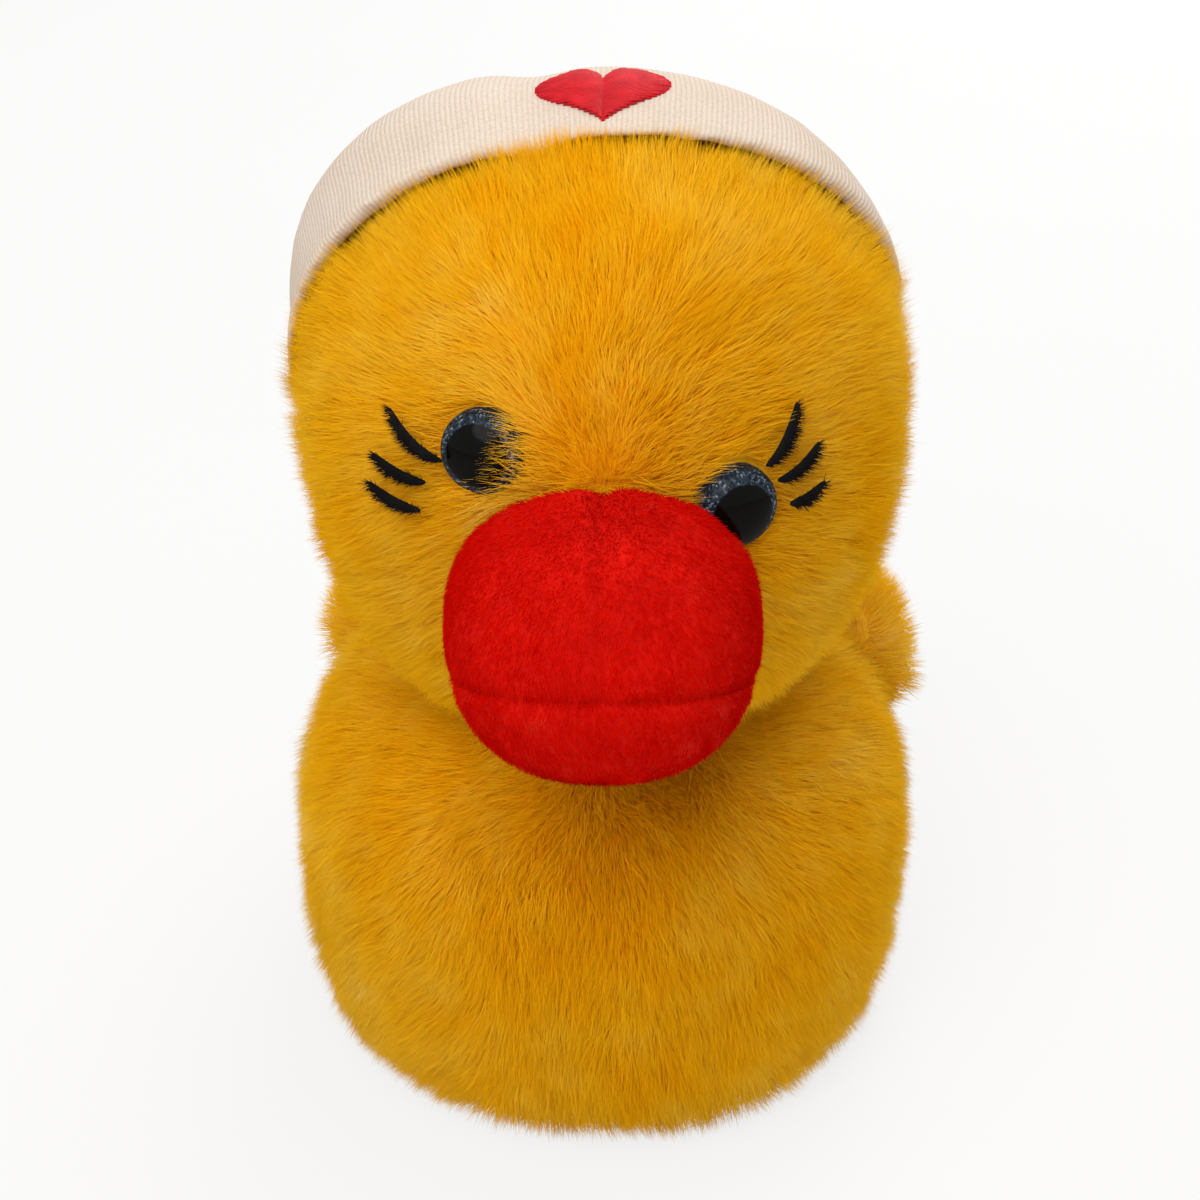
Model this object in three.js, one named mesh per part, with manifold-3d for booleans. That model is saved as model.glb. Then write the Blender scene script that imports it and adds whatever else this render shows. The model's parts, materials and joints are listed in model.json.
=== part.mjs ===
// A plush duck in a cloth cap, sitting on a flat base. Millimetres, +Z up. It faces -Y, its origin is
// the point of the base that it stands on, and left and right are the duck's own.

import * as THREE from 'three';
import { mergeVertices } from 'three/addons/utils/BufferGeometryUtils.js';
import Module from 'manifold-3d';

const wasm = await Module();
wasm.setup();

// Clearances
const seat_gap = 0.3; // left between pieces that touch
const overrun = 6; // how far a cutter passes what it cuts

// The body: a deep boat shape, full in the chest, that narrows and rises to the rump
const body = {
  half_width: 64,
  front: 69,
  back: 88,
  up: 45,
  down: 46,
  widest_height: 42, // of the widest point over the base
  widest_ahead: 7, // of that point ahead of the origin
  fullness: 2.2, // in plan: 2 is an ellipse, and more is squarer
  crown_fullness: 2.5, // of the upper half, seen level
  seat_fullness: 4.2, // of the lower half
  rump_taper: 0.2,
  rump_rise: 12,
  cover_wall: 9, // long pile and its backing
  facets: 6,
  inner_facets: 5,
};
body.middle = new THREE.Vector3(0, -body.widest_ahead, body.widest_height);

// The base panel, a flat oval of short pile sewn in under the body
const base_panel = { thickness: 3 };

// The pouch of plastic pellets that weights the seat
const pellet_bag = { half_width: 34, half_length: 38, half_height: 11, facets: 3 };

// The head: a round ball of the same pile, pressed down on the front of the body
const head = {
  half_width: 57,
  front: 52,
  back: 52,
  up: 54,
  down: 67,
  fullness: 2.1,
  crown_fullness: 2.1,
  seat_fullness: 2.25,
  ahead: 20, // of the origin
  sink: 14, // of its underside below the body's top
  cover_wall: 9,
  neck_radius: 27, // of the hole that both covers are sewn round
  neck_sides: 32,
  facets: 6,
  inner_facets: 4,
};
head.middle = new THREE.Vector3(0, -head.ahead, body.widest_height + body.up - head.sink + head.down);

// The bill: an upper and a lower panel of short red pile round one ball of filling
const bill = {
  half_width: 26.3,
  front: 35,
  back: 24,
  up: 23,
  down: 21.5,
  fullness: 2.35,
  crown_fullness: 2.1,
  seat_fullness: 2.35,
  stand: 4, // of its middle ahead of the head's front
  drop: 13, // of its middle below the head's middle
  cover_wall: 3,
  mouth_drop: 10, // of the mouth seam's line below its middle
  mouth_tilt: THREE.MathUtils.degToRad(23),
  facets: 5,
  inner_facets: 3,
};
bill.middle = new THREE.Vector3(0, head.middle.y - head.front - bill.stand, head.middle.z - bill.drop);

// The eyes: clear domes on ridged posts, with a disc of glitter cloth behind and a lock washer inside
const eye = {
  radius: 7.3,
  dome_height: 5.4,
  rim_height: 1,
  sunk: 4, // of the dome's back below the tips of the pile
  post_radius: 1.7,
  post_ridge: 0.35,
  post_ridges: 3,
  ridge_rise_share: 0.33, // of each ridge's length, from its foot to its crest
  post_past_washer: 3,
  disc_thickness: 0.6,
  washer_radius: 6,
  washer_thickness: 1.4,
  washer_dish: 1,
  sides: 16,
  dome_steps: 5,
  // degrees round from the front and up from the head's middle
  left: { round: 23.8, rise: 1.9 },
  right: { round: -21.6, rise: 13.2 },
};

// The lashes: three satin stitched curves outside each eye, from root to tip in the same degrees
const lash = {
  half_width: 1.05,
  half_height: 0.7,
  sides: 8,
  steps: 9,
  left: {
    upper: [[27.5, 10.5], [32, 12], [35, 20.5]],
    middle: [[29.5, 7.5], [34.5, 7], [38.5, 12.5]],
    lower: [[31.9, 2.6], [35.5, 1.4], [39.5, 4.9]],
  },
  right: {
    upper: [[-27, 11.5], [-33.5, 11.5], [-39, 18.5]],
    middle: [[-30, 7], [-36, 6], [-41.5, 9.5]],
    lower: [[-31, 1.4], [-37, 0.6], [-42.5, 3.8]],
  },
};

// The cap: a wide front cuff that lies back over the head, and a fuller crown sewn behind it
const cap = {
  hem_rise: 1.6, // of the front hem over the pile
  side_rise: 3.5, // of the cuff over the pile at the sides
  top_rise: 5.5,
  ease_length: 20, // from the front hem to the full rise
  crown_rise: 2, // of the crown past the cuff
  fullness: 2.35,
  aside: 3, // towards the duck's right
  cuff_ahead: 11, // of the cuff's front edge ahead of the head's middle, at the top
  cuff_width: 47,
  lean: THREE.MathUtils.degToRad(20), // of the cuff's edges off upright
  roll: THREE.MathUtils.degToRad(8), // higher over the left eye
  turn: THREE.MathUtils.degToRad(4), // further forward over the right eye
  hem_above: 14, // of the lower hem above the head's middle
  hem_fall: THREE.MathUtils.degToRad(24), // of the hem towards the nape
};

// The heart stitched on the cuff in red satin
const heart = {
  half_width: 12,
  length: 21,
  stand: 1,
  middle_behind_edge: 13,
  lobe_share: 0.78, // of the length, up to the widest point
  shoulder_share: 0.62, // how full the curves are
  dip_share: 0.8, // of the length, up to the notch
  curve_steps: 7,
};

// The wings: leaf shaped pads sewn at their front end, lying back along the body
const wing = {
  half_height: 19,
  cover_wall: 4,
  root_cut: 3, // of the sewn end off the leaf's point
  seam_stand: 2, // of the fold line over the body's pile, the thickness of the sewn edge
  flat_side_share: 0.25, // of the thickness, that swells towards the body
  root_thin_share: 0.5, // of the full thickness, at the sewn end
  root_ease_share: 0.4, // of the length, over which the wing fills out
  tip_taper_share: 0.3, // of the width, lost by the tip
  // degrees round from the side towards the tail and up from the body's middle
  left: { hand: 1, thickness: 13, root: { round: 4, rise: 19 }, tip: { round: 52, rise: 35 } },
  right: { hand: -1, thickness: 10.5, root: { round: 13, rise: 23 }, tip: { round: 56, rise: 36 } },
  bow: 5, // degrees that the middle of the wing lies above the straight line
  sides: 12,
  steps: 14,
};

// The tail: a small upturned point at the end of the rump
const tail = {
  half_width: 14,
  half_thickness: 9,
  length: 44,
  buried: 14, // of its length inside the line of the rump
  rise: 30, // degrees up from the body's middle
  upturn: THREE.MathUtils.degToRad(42),
  cover_wall: 5,
  taper: 0.45,
  facets: 3,
};

// Colours and finishes
const finish = {
  pile: { color: 0xe8a90f, roughness: 0.95, metalness: 0 },
  short_pile: { color: 0xdc1208, roughness: 0.85, metalness: 0 },
  filling: { color: 0xf2f0ea, roughness: 1, metalness: 0 },
  pellets: { color: 0xd8d4c8, roughness: 0.8, metalness: 0 },
  eye: { color: 0x0b0b0d, roughness: 0.08, metalness: 0 },
  glitter: { color: 0x3c4f66, roughness: 0.35, metalness: 0.6 },
  washer: { color: 0xe6e6e2, roughness: 0.5, metalness: 0 },
  thread: { color: 0x141414, roughness: 0.6, metalness: 0 },
  twill: { color: 0xede3d8, roughness: 0.9, metalness: 0 },
  red_thread: { color: 0xd02030, roughness: 0.5, metalness: 0 },
};

const duck = new THREE.Group();

// Adds one piece to the duck, or to a group of it, under the name that a maker would use.
function addPiece(name, geometry, look, parent = duck) {
  geometry.computeVertexNormals();
  const piece = new THREE.Mesh(geometry, new THREE.MeshStandardMaterial(look));
  piece.name = name;
  parent.add(piece);
  return piece;
}

// Turns a closed three.js geometry into a solid for joining and cutting.
function toSolid(geometry) {
  const bare = geometry.clone();
  bare.deleteAttribute('normal');
  bare.deleteAttribute('uv');
  const merged = mergeVertices(bare);
  return new wasm.Manifold(
    new wasm.Mesh({
      numProp: 3,
      vertProperties: Float32Array.from(merged.attributes.position.array),
      triVerts: Uint32Array.from(merged.index.array),
    }),
  );
}

// Turns a solid back into a three.js geometry.
function toGeometry(solid) {
  const { vertProperties, triVerts } = solid.getMesh();
  const geometry = new THREE.BufferGeometry();
  geometry.setAttribute('position', new THREE.BufferAttribute(vertProperties, 3));
  geometry.setIndex(new THREE.BufferAttribute(triVerts, 1));
  return geometry;
}

// How far a direction reaches before it meets a rounded square of that fullness.
function roundedReach(a, b, fullness) {
  return (Math.abs(a) ** fullness + Math.abs(b) ** fullness) ** (-1 / fullness);
}

// The point of a stuffed form in a direction from its middle, with the form grown or shrunk all round.
function formPoint(form, direction, grow = 0) {
  const { x, y, z } = direction;
  const level = Math.hypot(x, y);
  const in_profile = roundedReach(level, z, z > 0 ? form.crown_fullness : form.seat_fullness);
  const in_plan = level > 0 ? roundedReach(x / level, y / level, form.fullness) : 1;
  const side_share = x * in_profile * in_plan;
  const ahead_share = y * in_profile * in_plan;
  const point = new THREE.Vector3(
    side_share * (form.half_width + grow),
    ahead_share * ((y < 0 ? form.front : form.back) + grow),
    z * in_profile * ((z > 0 ? form.up : form.down) + grow),
  );
  if (form.rump_rise && y > 0) {
    point.x *= 1 - form.rump_taper * ahead_share ** 2;
    point.z += form.rump_rise * ahead_share ** 2;
  }
  return point.add(form.middle);
}

// A unit direction from degrees round from an axis of the level plane and degrees up.
function directionAt(round, rise, axis) {
  const turn = THREE.MathUtils.degToRad(round);
  const lift = THREE.MathUtils.degToRad(rise);
  return axis
    .clone()
    .applyAxisAngle(straight_up, turn)
    .multiplyScalar(Math.cos(lift))
    .add(new THREE.Vector3(0, 0, Math.sin(lift)));
}

// The outward normal of a stuffed form in a direction, from three points close together on it.
function formNormal(form, direction) {
  const nudge = 0.01;
  const side = new THREE.Vector3(-direction.y, direction.x, 0).normalize().multiplyScalar(nudge);
  const lift = direction.clone().cross(side);
  const here = formPoint(form, direction);
  const beside = formPoint(form, direction.clone().add(side).normalize()).sub(here);
  const above = formPoint(form, direction.clone().add(lift).normalize()).sub(here);
  return beside.cross(above).normalize();
}

// The whole closed surface of a stuffed form.
function formGeometry(form, grow = 0) {
  const ball = new THREE.IcosahedronGeometry(1, form.facets);
  const places = ball.attributes.position;
  const direction = new THREE.Vector3();
  for (let i = 0; i < places.count; i += 1) {
    direction.fromBufferAttribute(places, i).normalize();
    const point = formPoint(form, direction, grow);
    places.setXYZ(i, point.x, point.y, point.z);
  }
  return ball;
}

function formSolid(form, grow = 0) {
  return toSolid(formGeometry(form, grow));
}

// The inner side of a cover, or the filling inside it, which needs fewer facets.
function innerSolid(form, grow) {
  return formSolid({ ...form, facets: form.inner_facets }, grow);
}

// A solid less each of several others.
function without(solid, others) {
  return others.reduce((rest, other) => rest.subtract(other), solid);
}

// A block with its lower face in a plane through a point, big enough to cut all that lies beyond it.
const whole_span = 2 * (head.middle.z + head.up + body.back + overrun);
function blockBeyond(point, normal) {
  const block = new THREE.BoxGeometry(whole_span, whole_span, whole_span);
  block.translate(0, 0, whole_span / 2);
  block.applyQuaternion(new THREE.Quaternion().setFromUnitVectors(straight_up, normal));
  block.translate(point.x, point.y, point.z);
  return toSolid(block);
}

const straight_up = new THREE.Vector3(0, 0, 1);
const straight_down = new THREE.Vector3(0, 0, -1);
const straight_ahead = new THREE.Vector3(0, -1, 0);
const straight_behind = new THREE.Vector3(0, 1, 0);
const sideways = new THREE.Vector3(1, 0, 0);
const below_the_base = blockBeyond(new THREE.Vector3(), straight_down);

// Body

const body_outside = formSolid(body);
const body_clearance = formSolid(body, seat_gap);
const open_below = { ...body, down: body.down + body.cover_wall };
const body_inside = innerSolid(open_below, -body.cover_wall);

function neckPlug(radius) {
  const height = head.middle.z - body.widest_height;
  const plug = new THREE.CylinderGeometry(radius, radius, height, head.neck_sides);
  plug.rotateX(Math.PI / 2);
  plug.translate(0, head.middle.y, body.widest_height + height / 2);
  return toSolid(plug);
}

const body_cover = body_outside.subtract(body_inside).subtract(below_the_base).subtract(
  neckPlug(head.neck_radius),
);
addPiece('body_cover', toGeometry(body_cover), finish.pile);

const above_panel = blockBeyond(new THREE.Vector3(0, 0, base_panel.thickness), straight_up);
const panel_oval = innerSolid(open_below, -body.cover_wall - seat_gap);
addPiece(
  'base_panel',
  toGeometry(panel_oval.subtract(below_the_base).subtract(above_panel)),
  finish.pile,
);

const seat_height = base_panel.thickness + seat_gap;
const under_filling = blockBeyond(new THREE.Vector3(0, 0, seat_height), straight_down);

function pelletForm(grow) {
  const size = pellet_bag.half_height;
  const pouch = {
    half_width: pellet_bag.half_width,
    front: pellet_bag.half_length,
    back: pellet_bag.half_length,
    up: size,
    down: size,
    fullness: body.fullness,
    crown_fullness: body.crown_fullness,
    seat_fullness: body.crown_fullness,
    facets: pellet_bag.facets,
    middle: new THREE.Vector3(0, 0, seat_height + size / 2),
  };
  return formSolid(pouch, grow).subtract(under_filling);
}
addPiece('pellet_bag', toGeometry(pelletForm(0)), finish.pellets);

const body_stuffing = panel_oval
  .subtract(under_filling)
  .subtract(pelletForm(seat_gap))
  .add(neckPlug(head.neck_radius - seat_gap).subtract(blockBeyond(head.middle, straight_up)));

// Head

const head_outside = formSolid(head);
const head_clearance = formSolid(head, seat_gap);
const head_inside = innerSolid(head, -head.cover_wall);
const head_filling = innerSolid(head, -head.cover_wall - seat_gap);

// One eye's place on the head, with +Z out of the face, and the depth of the cover's inner side there
function eyeSeat(place) {
  const direction = directionAt(place.round, place.rise, straight_ahead);
  const surface = formPoint(head, direction);
  const normal = formNormal(head, direction);
  const inner = formPoint(head, direction, -head.cover_wall);
  const seat = new THREE.Group();
  seat.position.copy(surface);
  seat.quaternion.setFromUnitVectors(straight_up, normal);
  seat.updateMatrixWorld(true);
  return { seat, inner_depth: surface.distanceTo(inner) };
}

// A turned piece whose profile is given as radius and height, standing on +Z.
function turned(profile) {
  const points = profile.map(([radius, height]) => new THREE.Vector2(radius, height));
  const geometry = new THREE.LatheGeometry(points, eye.sides);
  geometry.rotateX(Math.PI / 2);
  return toGeometry(toSolid(geometry));
}

const disc_top = -eye.sunk - seat_gap;
const disc_bottom = disc_top - eye.disc_thickness;
function domeProfile(inner_depth) {
  const post_end = -inner_depth - eye.washer_thickness - eye.post_past_washer;
  const profile = [[0, post_end], [eye.post_radius - eye.post_ridge, post_end]];
  const pitch = eye.post_past_washer / eye.post_ridges;
  for (let ridge = 0; ridge < eye.post_ridges; ridge += 1) {
    const foot = post_end + ridge * pitch;
    profile.push([eye.post_radius, foot + pitch * eye.ridge_rise_share]);
    profile.push([eye.post_radius - eye.post_ridge, foot + pitch]);
  }
  profile.push([eye.post_radius, -eye.sunk - eye.post_radius]);
  profile.push([eye.post_radius, -eye.sunk]);
  profile.push([eye.radius, -eye.sunk]);
  const dome_foot = eye.rim_height - eye.sunk;
  const dome_rise = eye.dome_height - eye.rim_height;
  for (let step = 0; step < eye.dome_steps; step += 1) {
    const angle = (step / eye.dome_steps) * (Math.PI / 2);
    profile.push([eye.radius * Math.cos(angle), dome_foot + dome_rise * Math.sin(angle)]);
  }
  profile.push([0, dome_foot + dome_rise]);
  return profile;
}

function discProfile() {
  const hole = eye.post_radius + seat_gap;
  return [[hole, disc_bottom], [eye.radius, disc_bottom], [eye.radius, disc_top], [hole, disc_top],
    [hole, disc_bottom]];
}

function washerProfile(inner_depth) {
  const hole = eye.post_radius + seat_gap;
  const top = -inner_depth;
  const bottom = top - eye.washer_thickness;
  const shoulder = (hole + eye.washer_radius) / 2;
  return [[hole, bottom], [shoulder, bottom], [eye.washer_radius, bottom + eye.washer_dish / 2],
    [eye.washer_radius, top], [hole, top], [hole, bottom]];
}

// What the cover gives up for an eye: a pocket in the pile and a hole for the post
function eyePocket(inner_depth) {
  const pocket = eye.radius + seat_gap;
  const floor = disc_bottom - seat_gap;
  const hole = eye.post_radius + seat_gap;
  const deep = -inner_depth - eye.radius;
  const high = eye.dome_height + seat_gap - eye.sunk;
  return turned([[0, deep], [hole, deep], [hole, floor], [pocket, floor],
    [pocket, high - eye.dome_height / 2], [pocket / 2, high], [0, high]]);
}

// What the filling gives up for the washer and the end of the post, and the flat it presses in the cover
function washerPocket(inner_depth) {
  const radius = eye.washer_radius + seat_gap;
  const top = seat_gap - inner_depth;
  const washer_floor = -inner_depth - eye.washer_thickness - seat_gap;
  const hole = eye.post_radius + seat_gap;
  const deep = washer_floor - eye.post_past_washer;
  return turned([[0, deep], [hole, deep], [hole, washer_floor], [radius, washer_floor],
    [radius, top], [0, top]]);
}

const eye_pockets = [];
const washer_pockets = [];
for (const side of ['left', 'right']) {
  const { seat, inner_depth } = eyeSeat(eye[side]);
  duck.add(seat);
  addPiece(`${side}_eye_dome`, turned(domeProfile(inner_depth)), finish.eye, seat);
  addPiece(`${side}_eye_glitter_disc`, turned(discProfile()), finish.glitter, seat);
  addPiece(`${side}_eye_lock_washer`, turned(washerProfile(inner_depth)), finish.washer, seat);
  eye_pockets.push(toSolid(eyePocket(inner_depth).applyMatrix4(seat.matrixWorld)));
  washer_pockets.push(toSolid(washerPocket(inner_depth).applyMatrix4(seat.matrixWorld)));
}

const neck_hole = neckPlug(head.neck_radius);
const head_cover = without(head_outside, [
  head_inside,
  body_clearance,
  neck_hole,
  ...eye_pockets,
  ...washer_pockets,
]);
addPiece('head_cover', toGeometry(head_cover), finish.pile);

// The neck of the body's filling stands up through both covers to meet the head's
const seated_filling = head_filling.subtract(body_clearance);
const neck_top = seated_filling.boundingBox().min[2];
const neck_meets = new THREE.Vector3(0, 0, neck_top + head.cover_wall);
addPiece(
  'body_stuffing',
  toGeometry(body_stuffing.subtract(blockBeyond(neck_meets, straight_up))),
  finish.filling,
);
const neck_socket = neck_hole.subtract(
  blockBeyond(neck_meets.clone().setZ(neck_meets.z + seat_gap), straight_up),
);
const head_stuffing = without(seated_filling, [...washer_pockets, neck_socket]);
addPiece('head_stuffing', toGeometry(head_stuffing), finish.filling);

// Lashes

function lashGeometry(angles) {
  const path = new THREE.QuadraticBezierCurve(...angles.map(([a, b]) => new THREE.Vector2(a, b)));
  const grain = new THREE.SphereGeometry(1, lash.sides, lash.steps);
  grain.rotateZ(-Math.PI / 2);
  const places = grain.attributes.position;
  const place = new THREE.Vector3();
  for (let i = 0; i < places.count; i += 1) {
    place.fromBufferAttribute(places, i);
    const along = THREE.MathUtils.clamp((1 + place.x) / 2, 0, 1);
    const angle = path.getPoint(along);
    const slope = path.getTangent(along);
    const direction = directionAt(angle.x, angle.y, straight_ahead);
    const normal = formNormal(head, direction);
    const ahead = directionAt(angle.x + slope.x, angle.y + slope.y, straight_ahead).sub(direction);
    const across = normal.clone().cross(ahead).normalize();
    const point = formPoint(head, direction, seat_gap + lash.half_height)
      .addScaledVector(across, place.y * lash.half_width)
      .addScaledVector(normal, place.z * lash.half_height);
    places.setXYZ(i, point.x, point.y, point.z);
  }
  return toGeometry(toSolid(grain));
}

for (const side of ['left', 'right']) {
  for (const [row, angles] of Object.entries(lash[side])) {
    addPiece(`${side}_lash_${row}`, lashGeometry(angles), finish.thread);
  }
}

// Bill

const mouth_normal = straight_up.clone().applyAxisAngle(sideways, -bill.mouth_tilt);
const mouth = bill.middle.clone().setZ(bill.middle.z - bill.mouth_drop);
const above_mouth = blockBeyond(mouth.clone().addScaledVector(mouth_normal, seat_gap / 2), mouth_normal);
const below_mouth = blockBeyond(
  mouth.clone().addScaledVector(mouth_normal, -seat_gap / 2),
  mouth_normal.clone().negate(),
);
const bill_inside = innerSolid(bill, -bill.cover_wall);
const bill_shell = without(formSolid(bill), [bill_inside, head_clearance, ...eye_pockets]);
addPiece('bill_upper_cover', toGeometry(bill_shell.intersect(above_mouth)), finish.short_pile);
addPiece('bill_lower_cover', toGeometry(bill_shell.intersect(below_mouth)), finish.short_pile);
const bill_filling = innerSolid(bill, -bill.cover_wall - seat_gap);
const bill_stuffing = without(bill_filling, [head_clearance, ...eye_pockets]);
addPiece('bill_stuffing', toGeometry(bill_stuffing), finish.filling);

// Cap

// The cap's outer form: the head's, a little squarer, that rises off the pile behind the front hem
function capSolid(extra) {
  const form = { ...head, fullness: cap.fullness, crown_fullness: cap.fullness };
  const front_hem = head.middle.y - cap.cuff_ahead;
  const ball = new THREE.IcosahedronGeometry(1, head.facets);
  const places = ball.attributes.position;
  const direction = new THREE.Vector3();
  for (let i = 0; i < places.count; i += 1) {
    direction.fromBufferAttribute(places, i).normalize();
    const level = formPoint(form, direction);
    const drop = head.middle.z + head.up - level.z;
    const behind = level.y - front_hem - drop * Math.tan(cap.lean);
    const ease = THREE.MathUtils.smoothstep(behind, 0, cap.ease_length);
    const rise = THREE.MathUtils.lerp(cap.side_rise, cap.top_rise, Math.max(0, direction.z));
    const grow = THREE.MathUtils.lerp(cap.hem_rise, rise, ease) + extra;
    const point = formPoint(form, direction, grow);
    places.setXYZ(i, point.x - cap.aside * ease, point.y, point.z);
  }
  return toSolid(ball);
}

// Edges of the cap, leaning back as they go down and rolled to one side
function capPlane(y, z, lean, towards) {
  const normal = new THREE.Vector3(0, 0, towards)
    .applyAxisAngle(sideways, lean)
    .applyAxisAngle(straight_behind, -cap.roll)
    .applyAxisAngle(straight_up, cap.turn);
  return blockBeyond(new THREE.Vector3(0, head.middle.y + y, head.middle.z + z), normal);
}

const upright = Math.PI / 2;
const behind_front_edge = capPlane(-cap.cuff_ahead, head.up, upright + cap.lean, -1);
const seam_behind = cap.cuff_width - cap.cuff_ahead;
const behind_seam = capPlane(seam_behind, head.up, upright + cap.lean, -1);
const behind_seam_gap = capPlane(seam_behind + seat_gap, head.up, upright + cap.lean, -1);
const above_hem = capPlane(0, cap.hem_above, -cap.hem_fall, 1);

const cap_band = wasm.Manifold.intersection([capSolid(0), behind_front_edge, above_hem]);
const cap_cuff = without(cap_band, [head_clearance, behind_seam]);
addPiece('cap_cuff', toGeometry(cap_cuff), finish.twill);
const cap_bag = wasm.Manifold.intersection([capSolid(cap.crown_rise), behind_seam_gap, above_hem]);
addPiece('cap_crown', toGeometry(cap_bag.subtract(head_clearance)), finish.twill);

// Heart

function heartBlock() {
  const w = heart.half_width;
  const l = heart.length;
  const lobe = l * heart.lobe_share;
  const dip = l * heart.dip_share;
  const full = heart.shoulder_share;
  const outline = new THREE.Shape();
  outline.moveTo(0, 0);
  outline.bezierCurveTo(w * full, l * (1 - full), w, l * full, w, lobe);
  outline.bezierCurveTo(w, l, w * (1 - full), l, 0, dip);
  outline.bezierCurveTo(-w * (1 - full), l, -w, l, -w, lobe);
  outline.bezierCurveTo(-w, l * full, -w * full, l * (1 - full), 0, 0);
  const depth = head.up;
  const block = new THREE.ExtrudeGeometry(outline, {
    depth,
    bevelEnabled: false,
    curveSegments: heart.curve_steps,
  });
  const edge_y = head.middle.y - cap.cuff_ahead;
  block.translate(0, edge_y + heart.middle_behind_edge - l / 2, head.middle.z + head.up - depth / 2);
  return toSolid(block);
}

const heart_layer = capSolid(seat_gap + heart.stand).subtract(capSolid(seat_gap));
addPiece('cap_heart', toGeometry(heartBlock().intersect(heart_layer)), finish.red_thread);

// Wings

// One leaf shaped layer of a wing, thinner all round by an inset, laid over the side of the body
function wingGeometry(side, inset) {
  const leaf = new THREE.SphereGeometry(1, wing.sides, wing.steps);
  leaf.rotateZ(-Math.PI / 2);
  const places = leaf.attributes.position;
  const place = new THREE.Vector3();
  const { hand, thickness } = wing[side];
  const length = formPoint(body, wingDirection(side, 0, 0)).distanceTo(
    formPoint(body, wingDirection(side, 1, 0)),
  );
  const tip_share = 1 - inset / length;
  const flat_depth = thickness * wing.flat_side_share;
  const full_depth = thickness - flat_depth;
  for (let i = 0; i < places.count; i += 1) {
    place.fromBufferAttribute(places, i);
    const along = (tip_share * (1 + place.x)) / 2;
    const taper = 1 - wing.tip_taper_share * along;
    const across = place.y * (wing.half_height - inset) * taper;
    const direction = wingDirection(side, along, across);
    const normal = formNormal(body, direction);
    const ease = THREE.MathUtils.smoothstep(along, 0, wing.root_ease_share);
    const thin = THREE.MathUtils.lerp(wing.root_thin_share, 1, ease);
    const out = place.z * hand;
    const depth = (out > 0 ? full_depth : flat_depth) * (1 - (2 * inset) / thickness);
    const rise = seat_gap + thin * (flat_depth + out * depth);
    const point = formPoint(body, direction).addScaledVector(normal, rise);
    places.setXYZ(i, point.x, point.y, point.z);
  }
  return leaf;
}

// The direction from the body's middle to a point of the wing's centre line, raised by a length across
function wingDirection(side, along, across) {
  const { hand, root, tip } = wing[side];
  const round = THREE.MathUtils.lerp(root.round, tip.round, along);
  const bow = wing.bow * Math.sin(Math.PI * along);
  const rise = THREE.MathUtils.lerp(root.rise, tip.rise, along) + bow;
  const lift = THREE.MathUtils.radToDeg(across / body.half_width);
  return directionAt(round * hand, rise + lift, new THREE.Vector3(hand, 0, 0));
}

// Each wing hangs in a group that stands at its seam, turned so that +Z is the line that it folds on
for (const side of ['left', 'right']) {
  const root = formPoint(body, wingDirection(side, 0, 0));
  const tip = formPoint(body, wingDirection(side, 1, 0));
  const along = tip.sub(root).normalize();
  const seam = root.addScaledVector(along, wing.root_cut);
  const outward = formNormal(body, wingDirection(side, 0, 0));
  const seam_top = formPoint(body, wingDirection(side, 0, wing.half_height));
  const seam_foot = formPoint(body, wingDirection(side, 0, -wing.half_height));
  const fold = seam_foot.sub(seam_top).multiplyScalar(wing[side].hand);
  const hinge = new THREE.Group();
  hinge.name = `${side}_wing_seam`;
  hinge.position.copy(seam).addScaledVector(outward, wing.seam_stand);
  hinge.quaternion.setFromUnitVectors(straight_up, fold.normalize());
  hinge.updateMatrixWorld(true);
  duck.add(hinge);

  const root_cut = blockBeyond(seam, along);
  const outside = toSolid(wingGeometry(side, 0));
  const inside = toSolid(wingGeometry(side, wing.cover_wall));
  const filling = toSolid(wingGeometry(side, wing.cover_wall + seat_gap));
  const into_hinge = hinge.matrixWorld.clone().invert();
  const cover = toGeometry(outside.subtract(inside).intersect(root_cut)).applyMatrix4(into_hinge);
  const pad = toGeometry(filling.intersect(root_cut)).applyMatrix4(into_hinge);
  addPiece(`${side}_wing_cover`, cover, finish.pile, hinge);
  addPiece(`${side}_wing_stuffing`, pad, finish.filling, hinge);
}

// Tail

function tailSolid(inset) {
  const seat = formPoint(body, directionAt(0, tail.rise, straight_behind));
  const cone = new THREE.IcosahedronGeometry(1, tail.facets);
  const places = cone.attributes.position;
  const half_length = tail.length / 2 - inset;
  for (let i = 0; i < places.count; i += 1) {
    const along = places.getZ(i);
    const narrow = 1 - tail.taper * along;
    places.setXYZ(
      i,
      places.getX(i) * (tail.half_width - inset) * narrow,
      places.getY(i) * (tail.half_thickness - inset) * narrow,
      along * half_length,
    );
  }
  cone.translate(0, 0, tail.length / 2 - tail.buried);
  cone.rotateX(tail.upturn - Math.PI / 2);
  cone.translate(seat.x, seat.y, seat.z);
  return toSolid(cone);
}
const tail_cover = tailSolid(0).subtract(tailSolid(tail.cover_wall)).subtract(body_clearance);
addPiece('tail_cover', toGeometry(tail_cover), finish.pile);
addPiece(
  'tail_stuffing',
  toGeometry(tailSolid(tail.cover_wall + seat_gap).subtract(body_clearance)),
  finish.filling,
);

export default duck;
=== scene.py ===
import json
import math

import bpy
import numpy as np
from mathutils import Matrix, Vector, kdtree
from mathutils.bvhtree import BVHTree

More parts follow.
